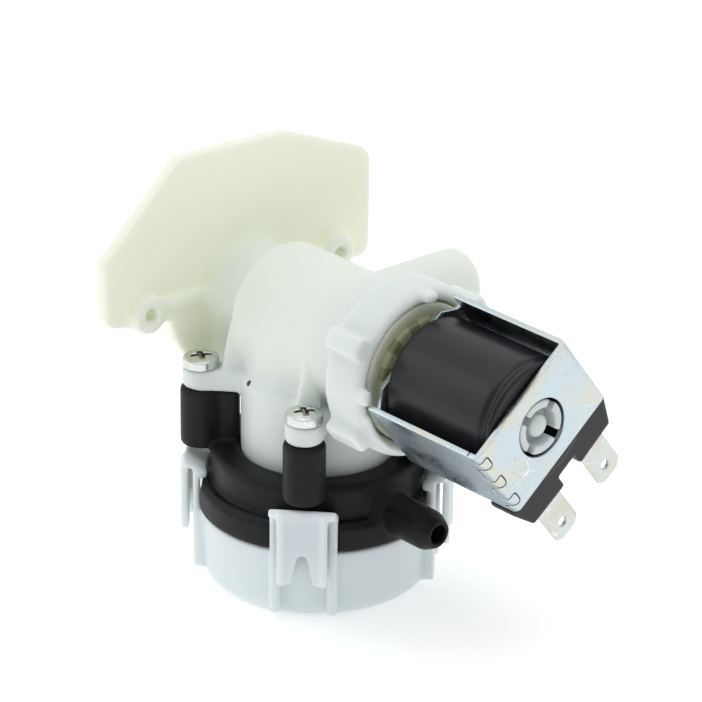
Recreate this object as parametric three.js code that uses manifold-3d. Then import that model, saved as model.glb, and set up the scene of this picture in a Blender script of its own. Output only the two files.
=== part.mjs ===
// Solenoid water valve: a moulded body with a mounting plate, a diaphragm valve worked by a
// solenoid on the +X side, and a membrane chamber with a clipped cup below it.
// Millimetres, +Z up, +X along the solenoid, origin at the centre of the cup's resting face.
// Heights in the constants are counted from the feet of the clips, cup.bottom above that face.

import * as THREE from 'three';
import { ConvexGeometry } from 'three/addons/geometries/ConvexGeometry.js';
import { mergeVertices } from 'three/addons/utils/BufferGeometryUtils.js';
import Module from 'manifold-3d';

const wasm = await Module();
wasm.setup();

// ---------------------------------------------------------------- driving dimensions

const roundSides = 40;
const innerSides = 24;
const smallSides = 16;
const gap = 0.15;
const looseGap = 0.3;
const wellPast = 40;

const valveAxisZ = 47.55;
const tubeAxisZ = 49.2;

const plate = {
  front: -22, thickness: 3.2, lobeRadius: 17.3, bossY: 23, bossRadius: 3.75, bossHeight: 2.3, holeRadius: 1.3,
};
const inletTube = { radius: 9, skirtHalfWidth: 7.6, bore: 6.4, spigotEnd: -34 };
const mainTube = { radius: 12.5, axisZ: 48.1, back: -11, rim: 0.9 };
const collar = { back: 19.3, front: 28.3, radius: 16.1, mouth: 13.9, barRadius: 18.2 };
const spout = { x: 2.6, z: 48.4, radius: 6.4, rootRadius: 6.8, bore: 4.4, end: 32.8 };
const spigot = { radius: 14.3, neckRadius: 13.5, bore: 11.2, bottom: 18.9, shelf: 38.6 };
const seat = { lip: 20.7, radius: 5.4, bore: 3.9 };
const ear = { circle: 21.8, first: -48, count: 4, radius: 3.55, bottom: 34.4, top: 38.2, holeRadius: 1.9 };
const screwSize = { headRadius: 3.4, headHeight: 2.3, shankRadius: 1.6, length: 13 };

const housing = {
  bore: 14.5, ring: 19.9, ringTop: 24, flange: 22.3, flangeTop: 17.4, flangeBottom: 11.9, notchRadius: 21,
  postRadius: 3.9, postBottom: 22.7,
};
const nipple = { z: 17.3, radius: 3.8, bore: 1.8, tipRadius: 2.7, tipLength: 2.5, end: 33.2 };
const cup = { radius: 21.8, footRadius: 21.2, bottom: -1.8, top: 11.7, wall: 2.2, floor: 0.3 };
const clip = {
  halfWidth: 6.2, legWidth: 1.9, legRadius: 22.6, legBottom: -0.5, top: 21.7, topSlope: 0.56,
  tongueRadius: 24.6, tongueHalfWidth: 4.6, tongueBottom: 6.5, notchTop: 11.5, ribRadius: 25.2, ribWidth: 1.4,
};

const solenoidTurn = 38.1;
const yoke = {
  back: 29.45, front: 57.8, halfLong: 13.2, halfShort: 8.5, thickness: 1, bend: 1.3,
  frontHole: 5.45, backHole: 6.5,
};
const coil = { radius: 11.7, back: 30.8, front: 56.45, shell: 0.75, bobbinBore: 7.15, frontRim: 10.2 };
const guide = { radius: 6, bore: 4.75, end: 53.2, flangeRadius: 12.9, flangeBack: 23.2, flangeFront: 27.4 };
const armature = { radius: 4.5, front: 24.9, back: 44 };
const tab = { x: 54.5, thickness: 0.8, width: 6.3, offset: 6.45, start: 12.2, end: 26.3, holeRadius: 0.9 };
const terminalBlock = { back: 50.6, front: 56.3 };
const spring = { radius: 2.9, wire: 0.3, turns: 6, membraneRadius: 5.4, membraneWire: 0.4, membraneTurns: 5 };
const oRing = {
  spigotRadius: 13.75, spigotSection: 0.6, spigotZ: 21.05,
  inletRadius: 8.75, inletSection: 0.95, inletX: -29.8,
};

// ---------------------------------------------------------------- solids

function degrees(angle) {
  return angle * Math.PI / 180;
}

function solidOf(geometry) {
  const bare = new THREE.BufferGeometry();
  bare.setAttribute('position', geometry.attributes.position);
  bare.setIndex(geometry.index);
  const merged = mergeVertices(bare, 1e-4);
  const points = merged.attributes.position;
  const corners = merged.index.array;
  const kept = [];
  const a = new THREE.Vector3();
  const b = new THREE.Vector3();
  const c = new THREE.Vector3();
  let volume = 0;
  for (let i = 0; i < corners.length; i += 3) {
    const [p, q, r] = [corners[i], corners[i + 1], corners[i + 2]];
    if (p === q || q === r || r === p) continue;
    kept.push(p, q, r);
    a.fromBufferAttribute(points, p);
    b.fromBufferAttribute(points, q);
    c.fromBufferAttribute(points, r);
    volume += a.dot(b.cross(c));
  }
  if (volume < 0) kept.reverse();
  return new wasm.Manifold(new wasm.Mesh({
    numProp: 3,
    vertProperties: new Float32Array(points.array),
    triVerts: new Uint32Array(kept),
  }));
}

function joined(solids) {
  return solids.reduce((whole, solid) => whole.add(solid));
}

function cutBy(solid, cutters) {
  return cutters.reduce((rest, cutter) => rest.subtract(cutter), solid);
}

// A profile of [radius, height] points turned round the Z axis; a profile off the axis closes on itself.
function turned(profile, sides = roundSides) {
  const points = profile.map(([radius, height]) => new THREE.Vector2(radius, height));
  const ends = [points[0], points[points.length - 1]];
  if (ends.some(end => end.x > 0)) points.push(points[0].clone());
  const geometry = new THREE.LatheGeometry(points, sides);
  geometry.rotateX(Math.PI / 2);
  return solidOf(geometry);
}

// The same profile turned round the X axis, at a height z.
function turnedOnX(profile, z = 0, sides = roundSides) {
  return turned(profile, sides).rotate([0, 90, 0]).translate([0, 0, z]);
}

function ring(outer, inner, from, to, sides = roundSides) {
  return turned([[inner, from], [outer, from], [outer, to], [inner, to]], sides);
}

function disc(radius, from, to, sides = roundSides) {
  return turned([[0, from], [radius, from], [radius, to], [0, to]], sides);
}

function rodOnX(radius, from, to, y, z, sides = roundSides) {
  return disc(radius, from, to, sides).rotate([0, 90, 0]).translate([0, y, z]);
}

function rodOnY(radius, endRadius, from, to, x, z, sides = smallSides) {
  const profile = [[0, from], [radius, from], [endRadius, to], [0, to]];
  return turned(profile, sides).rotate([-90, 0, 0]).translate([x, 0, z]);
}

function box(x0, x1, y0, y1, z0, z1) {
  const geometry = new THREE.BoxGeometry(x1 - x0, y1 - y0, z1 - z0);
  geometry.translate((x0 + x1) / 2, (y0 + y1) / 2, (z0 + z1) / 2);
  return solidOf(geometry);
}

function hullOf(points) {
  return solidOf(new ConvexGeometry(points.map(point => new THREE.Vector3(...point))));
}

// A closed outline in the YZ plane carried along X.
function slabOnX(outline, from, to) {
  const shape = new THREE.Shape(outline.map(([y, z]) => new THREE.Vector2(y, z)));
  const geometry = new THREE.ExtrudeGeometry(shape, { depth: to - from, bevelEnabled: false });
  const alongX = new THREE.Matrix4().makeBasis(
    new THREE.Vector3(0, 1, 0), new THREE.Vector3(0, 0, 1), new THREE.Vector3(1, 0, 0));
  geometry.applyMatrix4(alongX);
  geometry.translate(from, 0, 0);
  return solidOf(geometry);
}

// A closed outline in the XY plane carried up Z.
function slabOnZ(shape, from, to, curveSegments = 6) {
  const settings = { depth: to - from, bevelEnabled: false, curveSegments };
  const geometry = new THREE.ExtrudeGeometry(shape, settings);
  geometry.translate(0, 0, from);
  return solidOf(geometry);
}

// A round wire wound round Z, with turns of even pitch.
function helix(radius, wire, from, to, turns) {
  const steps = turns * 8;
  const points = [];
  for (let i = 0; i <= steps; i += 1) {
    const angle = 2 * Math.PI * turns * i / steps;
    const height = from + wire + (to - from - 2 * wire) * i / steps;
    points.push(new THREE.Vector3(radius * Math.cos(angle), radius * Math.sin(angle), height));
  }
  const section = new THREE.Shape();
  section.absarc(0, 0, wire, 0, 2 * Math.PI);
  const geometry = new THREE.ExtrudeGeometry(section, {
    steps,
    curveSegments: 4,
    bevelEnabled: false,
    extrudePath: new THREE.CatmullRomCurve3(points),
  });
  return solidOf(geometry);
}

function earAngles() {
  return Array.from({ length: ear.count }, (_, i) => ear.first + i * 360 / ear.count);
}

function atEachEar(solid) {
  return earAngles().map(angle => solid.rotate([0, 0, angle]));
}

// ---------------------------------------------------------------- materials

const finishes = {
  naturalPlastic: { color: 0xe9eee6, roughness: 0.45, metalness: 0 },
  bonnetPlastic: { color: 0x8d9068, roughness: 0.4, metalness: 0 },
  capPlastic: { color: 0xd5dad8, roughness: 0.5, metalness: 0 },
  blackNylon: { color: 0x232329, roughness: 0.6, metalness: 0 },
  coilPlastic: { color: 0x2c2c31, roughness: 0.4, metalness: 0 },
  zincSteel: { color: 0xc8d2d6, roughness: 0.35, metalness: 0.9 },
  tinnedBrass: { color: 0xd9dad2, roughness: 0.35, metalness: 0.9 },
  armatureSteel: { color: 0xa9abae, roughness: 0.3, metalness: 1 },
  springSteel: { color: 0xb9bbbd, roughness: 0.25, metalness: 1 },
  copper: { color: 0xb5673a, roughness: 0.35, metalness: 1 },
  bobbinPlastic: { color: 0x3a3a3f, roughness: 0.5, metalness: 0 },
  rubber: { color: 0x1c1c1c, roughness: 0.8, metalness: 0 },
};

function piece(name, finish, solid) {
  const { vertProperties, triVerts } = solid.getMesh();
  const geometry = new THREE.BufferGeometry();
  geometry.setAttribute('position', new THREE.BufferAttribute(new Float32Array(vertProperties), 3));
  geometry.setIndex(new THREE.BufferAttribute(new Uint32Array(triVerts), 1));
  const material = new THREE.MeshStandardMaterial({ ...finishes[finish], flatShading: true });
  const mesh = new THREE.Mesh(geometry, material);
  mesh.name = name;
  return mesh;
}

// ---------------------------------------------------------------- valve body

function mountingPlate() {
  const back = plate.front - plate.thickness;
  const outline = [
    [-31.9, 49.6], [-31.3, 48.3], [-30, 47.6], [-24, 46.2], [0, 44], [24, 46.2], [30.8, 45.9], [32.6, 47.6],
    [32.6, 65.6], [32, 67.2], [30.6, 68.4], [11.6, 76], [-13.4, 77], [-14.6, 76.4], [-31.9, 60.6],
  ];
  const slab = slabOnX(outline, back, plate.front);
  const lobe = rodOnX(plate.lobeRadius, back, plate.front, 0, tubeAxisZ);
  const feet = [-1, 1].map(side => {
    const bossTop = plate.front + plate.bossHeight;
    const foot = rodOnX(plate.bossRadius, back, bossTop, side * plate.bossY, tubeAxisZ, smallSides);
    const [near, far] = [inletTube.radius - 1.5, plate.bossY - 2].map(y => side * y);
    const [y0, y1] = [Math.min(near, far), Math.max(near, far)];
    const arm = box(plate.front - 1, bossTop - 0.6, y0, y1, tubeAxisZ - 0.9, tubeAxisZ + 1.9);
    return foot.add(arm);
  });
  return joined([slab, lobe, ...feet]);
}

function earWithFin() {
  const boss = disc(ear.radius, ear.bottom, ear.top, smallSides).translate([ear.circle, 0, 0]);
  const arm = box(spigot.radius - 2, ear.circle, -2.3, ear.radius - 0.15, ear.bottom, ear.top);
  const finTop = valveAxisZ + 2;
  const fin = hullOf([
    [spigot.radius - 3.5, -2.7, ear.top - 1], [spigot.radius - 3.5, 2.7, ear.top - 1],
    [18.1, -2.4, ear.top - 1], [18.1, 2.4, ear.top - 1],
    [spigot.radius - 3.5, -0.4, finTop], [spigot.radius - 3.5, 0.4, finTop],
    [15.9, -0.3, finTop], [15.9, 0.3, finTop],
  ]);
  return joined([boss, arm, fin]);
}

// The front ear has a second, slanting arm on its +X side.
function frontWeb() {
  const web = hullOf([ear.bottom + 0.4, ear.top - 0.4].flatMap(z => [
    [spigot.radius - 2, 0, z], [spigot.radius - 1.3, 6.4, z],
    [ear.circle, ear.radius - 0.3, z], [ear.circle, 0, z],
  ]));
  return web.rotate([0, 0, ear.first]);
}

function collarRing() {
  const shell = turnedOnX([
    [0, collar.back], [collar.radius - 0.3, collar.back], [collar.radius, collar.back + 0.4],
    [collar.radius, collar.front - 1.6], [collar.radius - 0.5, collar.front - 0.5],
    [collar.radius - 1.3, collar.front], [0, collar.front],
  ], valveAxisZ);
  const bar = box(collar.back, collar.front - 0.4, collar.radius - 1.2, collar.barRadius, -2.1, 2.1);
  const barAngles = [30, 150, 214, 326];
  const bars = barAngles.map(angle => bar.rotate([angle, 0, 0]).translate([0, 0, valveAxisZ]));
  return joined([shell, ...bars]);
}

// Four small hooks on the collar's mouth hold the yoke's back strip.
function collarHooks() {
  const hook = box(collar.front - 2.5, yoke.back + 0.9, collar.mouth + 0.2, collar.radius - 0.1, -1.4, 1.4);
  return [0, 90, 180, 270].map(angle => hook.rotate([angle, 0, 0]).translate([0, 0, valveAxisZ]));
}

// Part of a thin lip below the collar's mouth, under the yoke.
function mouthLip() {
  const lipRadius = collar.mouth + 1.3;
  const [from, to] = [collar.front - 1, yoke.back - 0.2];
  const profile = [[collar.mouth, from], [lipRadius, from], [lipRadius, to], [collar.mouth, to]];
  const lip = turnedOnX(profile, valveAxisZ);
  const lower = box(0, wellPast, -wellPast, wellPast, 0, valveAxisZ - 4);
  return lip.intersect(lower);
}

function bodyPassages() {
  const chamber = turnedOnX([
    [0, seat.lip], [12.7, seat.lip], [12.7, 23], [13.2, 23], [13.2, 26.6],
    [collar.mouth, collar.front + 0.01], [collar.mouth, wellPast], [0, wellPast],
  ], valveAxisZ);
  const moat = turnedOnX([[seat.radius, 14.5], [10.6, 14.5], [10.6, 22], [seat.radius, 22]], valveAxisZ);
  const seatBore = rodOnX(seat.bore, spout.x, 22, 0, valveAxisZ, smallSides);
  const inletBore = rodOnX(inletTube.bore, -wellPast, -5, 0, tubeAxisZ, smallSides);
  const feed = rodOnX(2.2, -8, 15, 0, tubeAxisZ + 4.6, smallSides);
  const outlet = rodOnY(spout.bore, spout.bore, 0, wellPast, spout.x, spout.z);
  const down = disc(3.6, spigot.bottom - 1, spout.z, smallSides).translate([spout.x, 0, 0]);
  const skirtHollow = disc(spigot.bore, spigot.bottom - 1, ear.bottom - 0.5);
  return [chamber, moat, seatBore, inletBore, feed, outlet, down, skirtHollow];
}

function bossHoles() {
  const back = plate.front - plate.thickness;
  const past = plate.front + plate.bossHeight + 2;
  return [-1, 1].map(side => rodOnX(plate.holeRadius, back - 1, past, side * plate.bossY, tubeAxisZ, smallSides));
}

function valveBody() {
  const inlet = rodOnX(inletTube.radius, inletTube.spigotEnd, mainTube.back + 2, 0, tubeAxisZ);
  const inletGroove = turnedOnX([[7.6, -31], [10, -31], [10, -28.6], [7.6, -28.6]], tubeAxisZ);
  const half = inletTube.skirtHalfWidth;
  const skirt = box(plate.front - 1, -8, -half, half, ear.bottom + 0.2, tubeAxisZ);
  const tube = turnedOnX([
    [0, mainTube.back], [mainTube.radius - mainTube.rim, mainTube.back],
    [mainTube.radius, mainTube.back + mainTube.rim], [mainTube.radius, collar.back + 1], [0, collar.back + 1],
  ], mainTube.axisZ);
  const neck = turned([
    [0, spigot.bottom], [spigot.radius - 0.6, spigot.bottom], [spigot.radius, spigot.bottom + 0.6],
    [spigot.radius, spigot.shelf - 0.3], [spigot.neckRadius, spigot.shelf + 0.3],
    [spigot.neckRadius - 1, valveAxisZ], [0, valveAxisZ],
  ]);
  const ringGroove = ring(spigot.radius + 1, spigot.radius - 1.3, 20.2, 21.9);
  const outletSpout = rodOnY(spout.rootRadius, spout.radius, 0, spout.end, spout.x, spout.z);
  const outside = joined([
    mountingPlate(), inlet.subtract(inletGroove), skirt, tube, neck.subtract(ringGroove), collarRing(),
    outletSpout, ...atEachEar(earWithFin()), frontWeb(),
  ]);
  const screwHole = disc(ear.holeRadius, ear.bottom - 1, ear.top + 1, smallSides).translate([ear.circle, 0, 0]);
  const headRadius = screwSize.headRadius + looseGap;
  const headRoom = disc(headRadius, ear.top, ear.top + 6, smallSides).translate([ear.circle, 0, 0]);
  const cuts = [...bodyPassages(), ...bossHoles(), ...atEachEar(screwHole), ...atEachEar(headRoom)];
  return joined([cutBy(outside, cuts), ...collarHooks(), mouthLip()]);
}

// ---------------------------------------------------------------- solenoid, round its own X axis

// The yoke is one strip bent into a closed loop, seen here across its width.
function yokeBracket() {
  const outline = (inset, bend) => {
    const shape = new THREE.Shape();
    const [x0, x1, y1] = [yoke.back + inset, yoke.front - inset, yoke.halfLong - inset];
    shape.absarc(x1 - bend, y1 - bend, bend, 0, Math.PI / 2);
    shape.absarc(x0 + bend, y1 - bend, bend, Math.PI / 2, Math.PI);
    shape.absarc(x0 + bend, -y1 + bend, bend, Math.PI, 1.5 * Math.PI);
    shape.absarc(x1 - bend, -y1 + bend, bend, 1.5 * Math.PI, 2 * Math.PI);
    return slabOnZ(shape, -yoke.halfShort, yoke.halfShort, 4);
  };
  const hollow = outline(yoke.thickness, yoke.bend - yoke.thickness + 0.1).scale([1, 1, 1.1]);
  const loop = outline(0, yoke.bend).subtract(hollow);
  const backEdge = yoke.back + yoke.thickness + 0.3;
  const corners = [-1, 1].flatMap(y => [-1, 1].map(z => {
    const cutter = box(yoke.back - 1, backEdge, -2.2, 2.2, -2.2, 2.2);
    return cutter.rotate([45, 0, 0]).translate([0, y * (yoke.halfLong - 0.4), z * (yoke.halfShort + 0.3)]);
  }));
  const frontHole = rodOnX(yoke.frontHole, yoke.front - 2, yoke.front + 1, 0, 0);
  const backHole = rodOnX(yoke.backHole, yoke.back - 1, yoke.back + 2, 0, 0);
  return cutBy(loop, [frontHole, backHole, ...corners]);
}

function coilOvermould() {
  const inner = coil.radius - coil.shell;
  const shell = turnedOnX([
    [inner, coil.back], [coil.radius - 0.4, coil.back], [coil.radius, coil.back + 0.4],
    [coil.radius, 54], [coil.radius - 0.35, 54.3], [coil.radius - 0.35, 55.1], [coil.radius - 0.1, 55.4],
    [coil.radius - 0.1, coil.front - 0.4], [coil.radius - 0.5, coil.front],
    [8.2, coil.front], [8.2, coil.front - 0.9], [inner, coil.front - 0.9],
  ]);
  const outline = [
    [-10.6, -7], [-10.6, -8.9], [-13.5, -8.9], [-13.5, -10], [-11.4, -15.7], [-2.4, -16], [-2.4, -13.4],
    [2.4, -13.4], [2.4, -16], [11.4, -15.7], [13.5, -10], [13.5, -8.9], [10.6, -8.9], [10.6, -7],
  ];
  const block = slabOnX(outline, terminalBlock.back, terminalBlock.front);
  const inside = rodOnX(inner, coil.back, coil.front - 0.9, 0, 0);
  const slots = [-1, 1].map(side => tabBlank(side, gap, tab.start - 0.3, tab.end));
  return cutBy(shell.add(block.subtract(inside)), slots);
}

function tabBlank(side, allowance, from, to) {
  const half = tab.width / 2 + allowance;
  const middle = side * tab.offset;
  const thick = tab.thickness / 2 + allowance;
  return box(tab.x - thick, tab.x + thick, middle - half, middle + half, -to - allowance, -from + allowance);
}

function terminalTab(side) {
  const half = tab.width / 2;
  const middle = side * tab.offset;
  const outline = [
    [middle - half, -tab.start], [middle - half, -tab.end + 1.2], [middle - half + 1.3, -tab.end],
    [middle + half - 1.3, -tab.end], [middle + half, -tab.end + 1.2], [middle + half, -tab.start],
  ];
  const blade = slabOnX(outline, tab.x - tab.thickness / 2, tab.x + tab.thickness / 2);
  const eye = rodOnX(tab.holeRadius, tab.x - 1, tab.x + 1, middle, -tab.end + 3.3, 16);
  return blade.subtract(eye);
}

function coilBobbin() {
  const rim = coil.radius - coil.shell - gap;
  return turnedOnX([
    [coil.bobbinBore, 31], [rim, 31], [rim, 32], [8, 32],
    [8, 54.3], [coil.frontRim, 54.3], [coil.frontRim, 55.4], [coil.bobbinBore, 55.4],
  ], 0, innerSides);
}

function coilWinding() {
  const [inner, outer] = [8 + gap, 10.4];
  const [from, to] = [32 + gap, 54.3 - gap];
  return turnedOnX([[inner, from], [outer, from], [outer, to], [inner, to]], 0, innerSides);
}

function yokeSleeve() {
  return turnedOnX([[guide.radius + gap, 31], [7, 31], [7, 41.5], [guide.radius + gap, 41.5]], 0, innerSides);
}

function bonnet() {
  const shell = turnedOnX([
    [9.6, guide.flangeBack], [guide.flangeRadius, guide.flangeBack], [guide.flangeRadius, guide.flangeFront],
    [10.4, guide.flangeFront], [10.4, guide.flangeFront + 0.8], [guide.radius + 0.3, guide.flangeFront + 0.8],
    [guide.radius, guide.flangeFront + 1.4], [guide.radius, guide.end], [0, guide.end],
    [0, guide.end - 1.2], [guide.bore, guide.end - 1.2],
    [guide.bore, guide.flangeBack + 3.1], [9.6, guide.flangeBack + 3.1],
  ], 0, 36);
  const [front, rim] = [guide.flangeFront, guide.flangeRadius];
  const notch = box(front - 1.2, front + 1, rim - 1.2, rim + 1, -1.3, 1.3);
  const notches = Array.from({ length: 12 }, (_, i) => notch.rotate([30 * i + 8, 0, 0]));
  return cutBy(shell, notches);
}

// The cap on the end of the guide tube: a disc, a middle pin and a ring parted into four.
function coreCap() {
  const capRadius = 5.05;
  const base = guide.end + looseGap;
  const face = yoke.front - 0.15;
  const disk = rodOnX(capRadius, base, base + 1, 0, 0, 36);
  const wall = turnedOnX([[3.5, base + 0.5], [capRadius, base + 0.5], [capRadius, face], [3.5, face]], 0, 36);
  const partings = [0, 90].map(turn => {
    const slot = box(base + 1, face + 1, -7, 7, -0.75, 0.75);
    return slot.rotate([turn + 20, 0, 0]);
  });
  const pin = rodOnX(2.1, base + 0.5, face - 0.1, 0, 0, smallSides);
  return joined([disk, cutBy(wall, partings), pin]);
}

function plunger() {
  return turnedOnX([
    [1.9, armature.front], [armature.radius - 0.8, armature.front], [armature.radius, armature.front + 0.8],
    [armature.radius, armature.back - 0.5], [armature.radius - 0.5, armature.back], [0, armature.back],
    [0, armature.front + 2], [1.9, armature.front + 2],
  ], 0, innerSides);
}

function plungerSeal() {
  return rodOnX(1.7, armature.front - 1.1, armature.front + 1.8, 0, 0, smallSides);
}

function plungerSpring() {
  const wound = helix(spring.radius, spring.wire, armature.back + 0.2, guide.end - 1.5, spring.turns);
  return wound.rotate([0, 90, 0]);
}

// The rubber diaphragm: a thick outer bead, a thin rolling web and a seat pad.
function mainDiaphragm() {
  return turnedOnX([
    [3.4, 20.9], [6, 20.9], [6.2, 22], [10.6, 22], [10.8, 21.3], [12.4, 21.3], [12.4, 23], [10.8, 23],
    [10.6, 22.7], [3.4, 22.7],
  ], 0, innerSides);
}

function diaphragmInsert() {
  const pilot = 0.6;
  return turnedOnX([
    [pilot, 20.2], [3.1, 20.2], [3.1, 22.85], [5.2, 22.85],
    [5.2, 23.4], [1.4, 23.4], [1.2, 23.65], [pilot, 23.65],
  ], 0, innerSides);
}

// ---------------------------------------------------------------- membrane chamber

function membraneHousing() {
  const bell = turned([
    [18.2, housing.flangeBottom], [housing.flange, housing.flangeBottom], [housing.flange, 16.7],
    [housing.flange - 0.3, 17], [21.6, 17], [21.4, 17.6], [20.6, 17.6], [20.4, housing.flangeTop],
    [housing.ring, housing.flangeTop], [housing.ring, 22.9], [housing.ring - 0.4, 23.6],
    [housing.ring - 1.2, housing.ringTop], [housing.bore, housing.ringTop], [housing.bore, 18.6],
    [12.5, 18.6], [12.5, 16.8], [18.2, 16.8],
  ]);
  const notch = box(housing.notchRadius, 24, -7, 7, housing.flangeBottom - 1, housing.flangeTop + 1);
  const { postRadius, postBottom } = housing;
  const postTop = ear.bottom - gap;
  const post = disc(postRadius, postBottom, postTop, smallSides).translate([ear.circle, 0, 0]);
  const web = box(housing.bore + 0.2, ear.circle, -2, 2, postBottom + 0.1, postTop);
  const pilotHole = disc(ear.holeRadius, postBottom + 1.5, wellPast, smallSides).translate([ear.circle, 0, 0]);
  const shank = turnedOnX([
    [0, 17], [nipple.radius, 17], [nipple.radius, nipple.end - nipple.tipLength],
    [nipple.tipRadius, nipple.end - 0.3], [nipple.tipRadius - 0.3, nipple.end], [0, nipple.end],
  ], nipple.z, 28);
  const root = rodOnX(nipple.radius + 0.8, 17, housing.ring + 1.5, 0, nipple.z + 0.3, 28);
  const bored = rodOnX(nipple.bore, 15, wellPast, 0, nipple.z, smallSides);
  const cavity = joined([
    disc(18.2, housing.flangeBottom - 1, 16.8), disc(housing.bore, 18.6, wellPast), disc(12.5, 16, 19),
  ]);
  const cutBell = cutBy(bell, atEachEar(notch));
  const outside = joined([cutBell, ...atEachEar(post), ...atEachEar(web), shank, root]);
  return cutBy(outside, [cavity, bored, ...atEachEar(pilotHole)]);
}

function roundSection(radius, section, height) {
  return Array.from({ length: 8 }, (_, i) => {
    const angle = 2 * Math.PI * i / 8;
    return [radius + section * Math.cos(angle), height + section * Math.sin(angle)];
  });
}

function spigotRing() {
  return turned(roundSection(oRing.spigotRadius, oRing.spigotSection, oRing.spigotZ), innerSides);
}

function inletRing() {
  const section = roundSection(oRing.inletRadius, oRing.inletSection, oRing.inletX);
  return turnedOnX(section, tubeAxisZ, innerSides);
}

function earScrew() {
  const { headRadius, headHeight, shankRadius, length } = screwSize;
  const body = turned([
    [0, -length], [0.9, -length], [shankRadius, -length + 1.6], [shankRadius, 0.02], [headRadius, 0.02],
    [headRadius, headHeight * 0.62], [headRadius - 0.5, headHeight * 0.88],
    [headRadius - 1.3, headHeight], [0, headHeight],
  ], smallSides);
  const bar = box(-2.3, 2.3, -0.5, 0.5, headHeight - 1.1, headHeight + 1);
  return cutBy(body, [bar, bar.rotate([0, 0, 90])]);
}

function lowerMembrane() {
  return turned([
    [9, 10.7], [13.4, 10.7], [14.2, 9.5], [16, 9.5], [17, 10.3], [17, 9.9], [19, 9.9], [19, 11.75],
    [17, 11.75], [17, 11.2], [15.6, 10.3], [14.6, 10.3], [13.8, 11.5], [0, 11.5], [0, 10.7],
  ], innerSides);
}

function membranePlate() {
  return turned([
    [0, 8.9], [3.9, 8.9], [3.9, 7.4], [4.5, 7.4], [4.5, 8.9], [8.9, 8.9], [8.9, 10.55], [0, 10.55],
  ], innerSides);
}

function membraneSpring() {
  const { membraneRadius, membraneWire, membraneTurns } = spring;
  return helix(membraneRadius, membraneWire, cup.floor + 0.2, 8.75, membraneTurns);
}

function clipSolid() {
  const { halfWidth, legWidth, legRadius, legBottom, top, topSlope } = clip;
  const { tongueRadius, tongueHalfWidth, tongueBottom, notchTop, ribRadius, ribWidth } = clip;
  const hookInner = housing.ring + 0.45;
  const barBottom = housing.flangeTop + 0.6;
  const hook = hullOf([-halfWidth, halfWidth].flatMap(y => [
    [hookInner, y, barBottom + 0.4], [hookInner + 0.4, y, barBottom], [legRadius, y, barBottom],
    [legRadius, y, top], [hookInner, y, top],
  ]));
  const bar = box(legRadius - 0.5, tongueRadius, -halfWidth, halfWidth, top - 2, top);
  const legs = [-1, 1].map(side => {
    const [near, far] = [side * (halfWidth - legWidth), side * halfWidth];
    const [y0, y1] = [Math.min(near, far), Math.max(near, far)];
    return box(cup.footRadius - 1.2, legRadius, y0, y1, legBottom, top);
  });
  const tongue = box(tongueRadius - 0.9, tongueRadius, -tongueHalfWidth, tongueHalfWidth, tongueBottom, top);
  const rib = box(tongueRadius - 0.5, ribRadius, -ribWidth / 2, ribWidth / 2, tongueBottom, top - 0.3);
  const ribs = [-1, 1].map(side => rib.translate([0, side * (tongueHalfWidth - ribWidth / 2), 0]));
  const notch = new THREE.Shape();
  notch.moveTo(-2.2, tongueBottom - 1);
  notch.lineTo(-0.9, notchTop);
  notch.absarc(0, notchTop, 0.9, Math.PI, 0, true);
  notch.lineTo(2.2, tongueBottom - 1);
  const points = notch.getPoints(5).map(point => [point.x, point.y]);
  const cutter = slabOnX(points, tongueRadius - 2, ribRadius + 1);
  const roomHalf = halfWidth + 1;
  const flangeRoom = box(18, housing.notchRadius + 0.3, -roomHalf, roomHalf, cup.top, barBottom - 0.1);
  const rampEnd = tongueRadius - 0.3;
  const ramp = hullOf([-roomHalf, roomHalf].flatMap(y => [
    [17, y, top - topSlope * (rampEnd - 17)], [28, y, top + topSlope * (28 - rampEnd)],
    [28, y, top + 9], [17, y, top + 9],
  ]));
  const whole = joined([hook, bar, ...legs, tongue, ...ribs]);
  return cutBy(whole, [cutter, flangeRoom, ramp]);
}

function baseCup() {
  const inner = cup.footRadius - 2 * cup.wall;
  const shell = turned([
    [0, cup.bottom], [18.4, cup.bottom], [20, cup.bottom + 0.4], [20.9, cup.bottom + 1.2],
    [cup.footRadius, cup.bottom + 2.6], [cup.radius, cup.top],
    [19.4, cup.top], [19.4, 9.6], [inner, 9.6], [inner, cup.floor], [0, cup.floor],
  ]);
  const springSeat = ring(4.5, 3.4, cup.floor - 0.5, cup.floor + 1.6, 32);
  return joined([shell, springSeat, ...atEachEar(clipSolid())]);
}

// ---------------------------------------------------------------- assembly

const valve = new THREE.Group();
valve.position.z = -cup.bottom;
valve.add(piece('valve_body', 'naturalPlastic', valveBody()));
valve.add(piece('inlet_o_ring', 'rubber', inletRing()));
valve.add(piece('membrane_housing', 'blackNylon', membraneHousing()));
valve.add(piece('spigot_o_ring', 'rubber', spigotRing()));
valve.add(piece('lower_membrane', 'rubber', lowerMembrane()));
valve.add(piece('membrane_plate', 'bobbinPlastic', membranePlate()));
valve.add(piece('membrane_spring', 'springSteel', membraneSpring()));
valve.add(piece('base_cup', 'naturalPlastic', baseCup()));

const screwNames = ['screw_front', 'screw_right', 'screw_rear', 'screw_left'];
earAngles().forEach((angle, i) => {
  const screw = piece(screwNames[i], 'zincSteel', earScrew());
  const place = new THREE.Group();
  screw.position.set(ear.circle, 0, ear.top);
  screw.rotation.z = degrees(20);
  place.rotation.z = degrees(angle);
  place.add(screw);
  valve.add(place);
});

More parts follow.
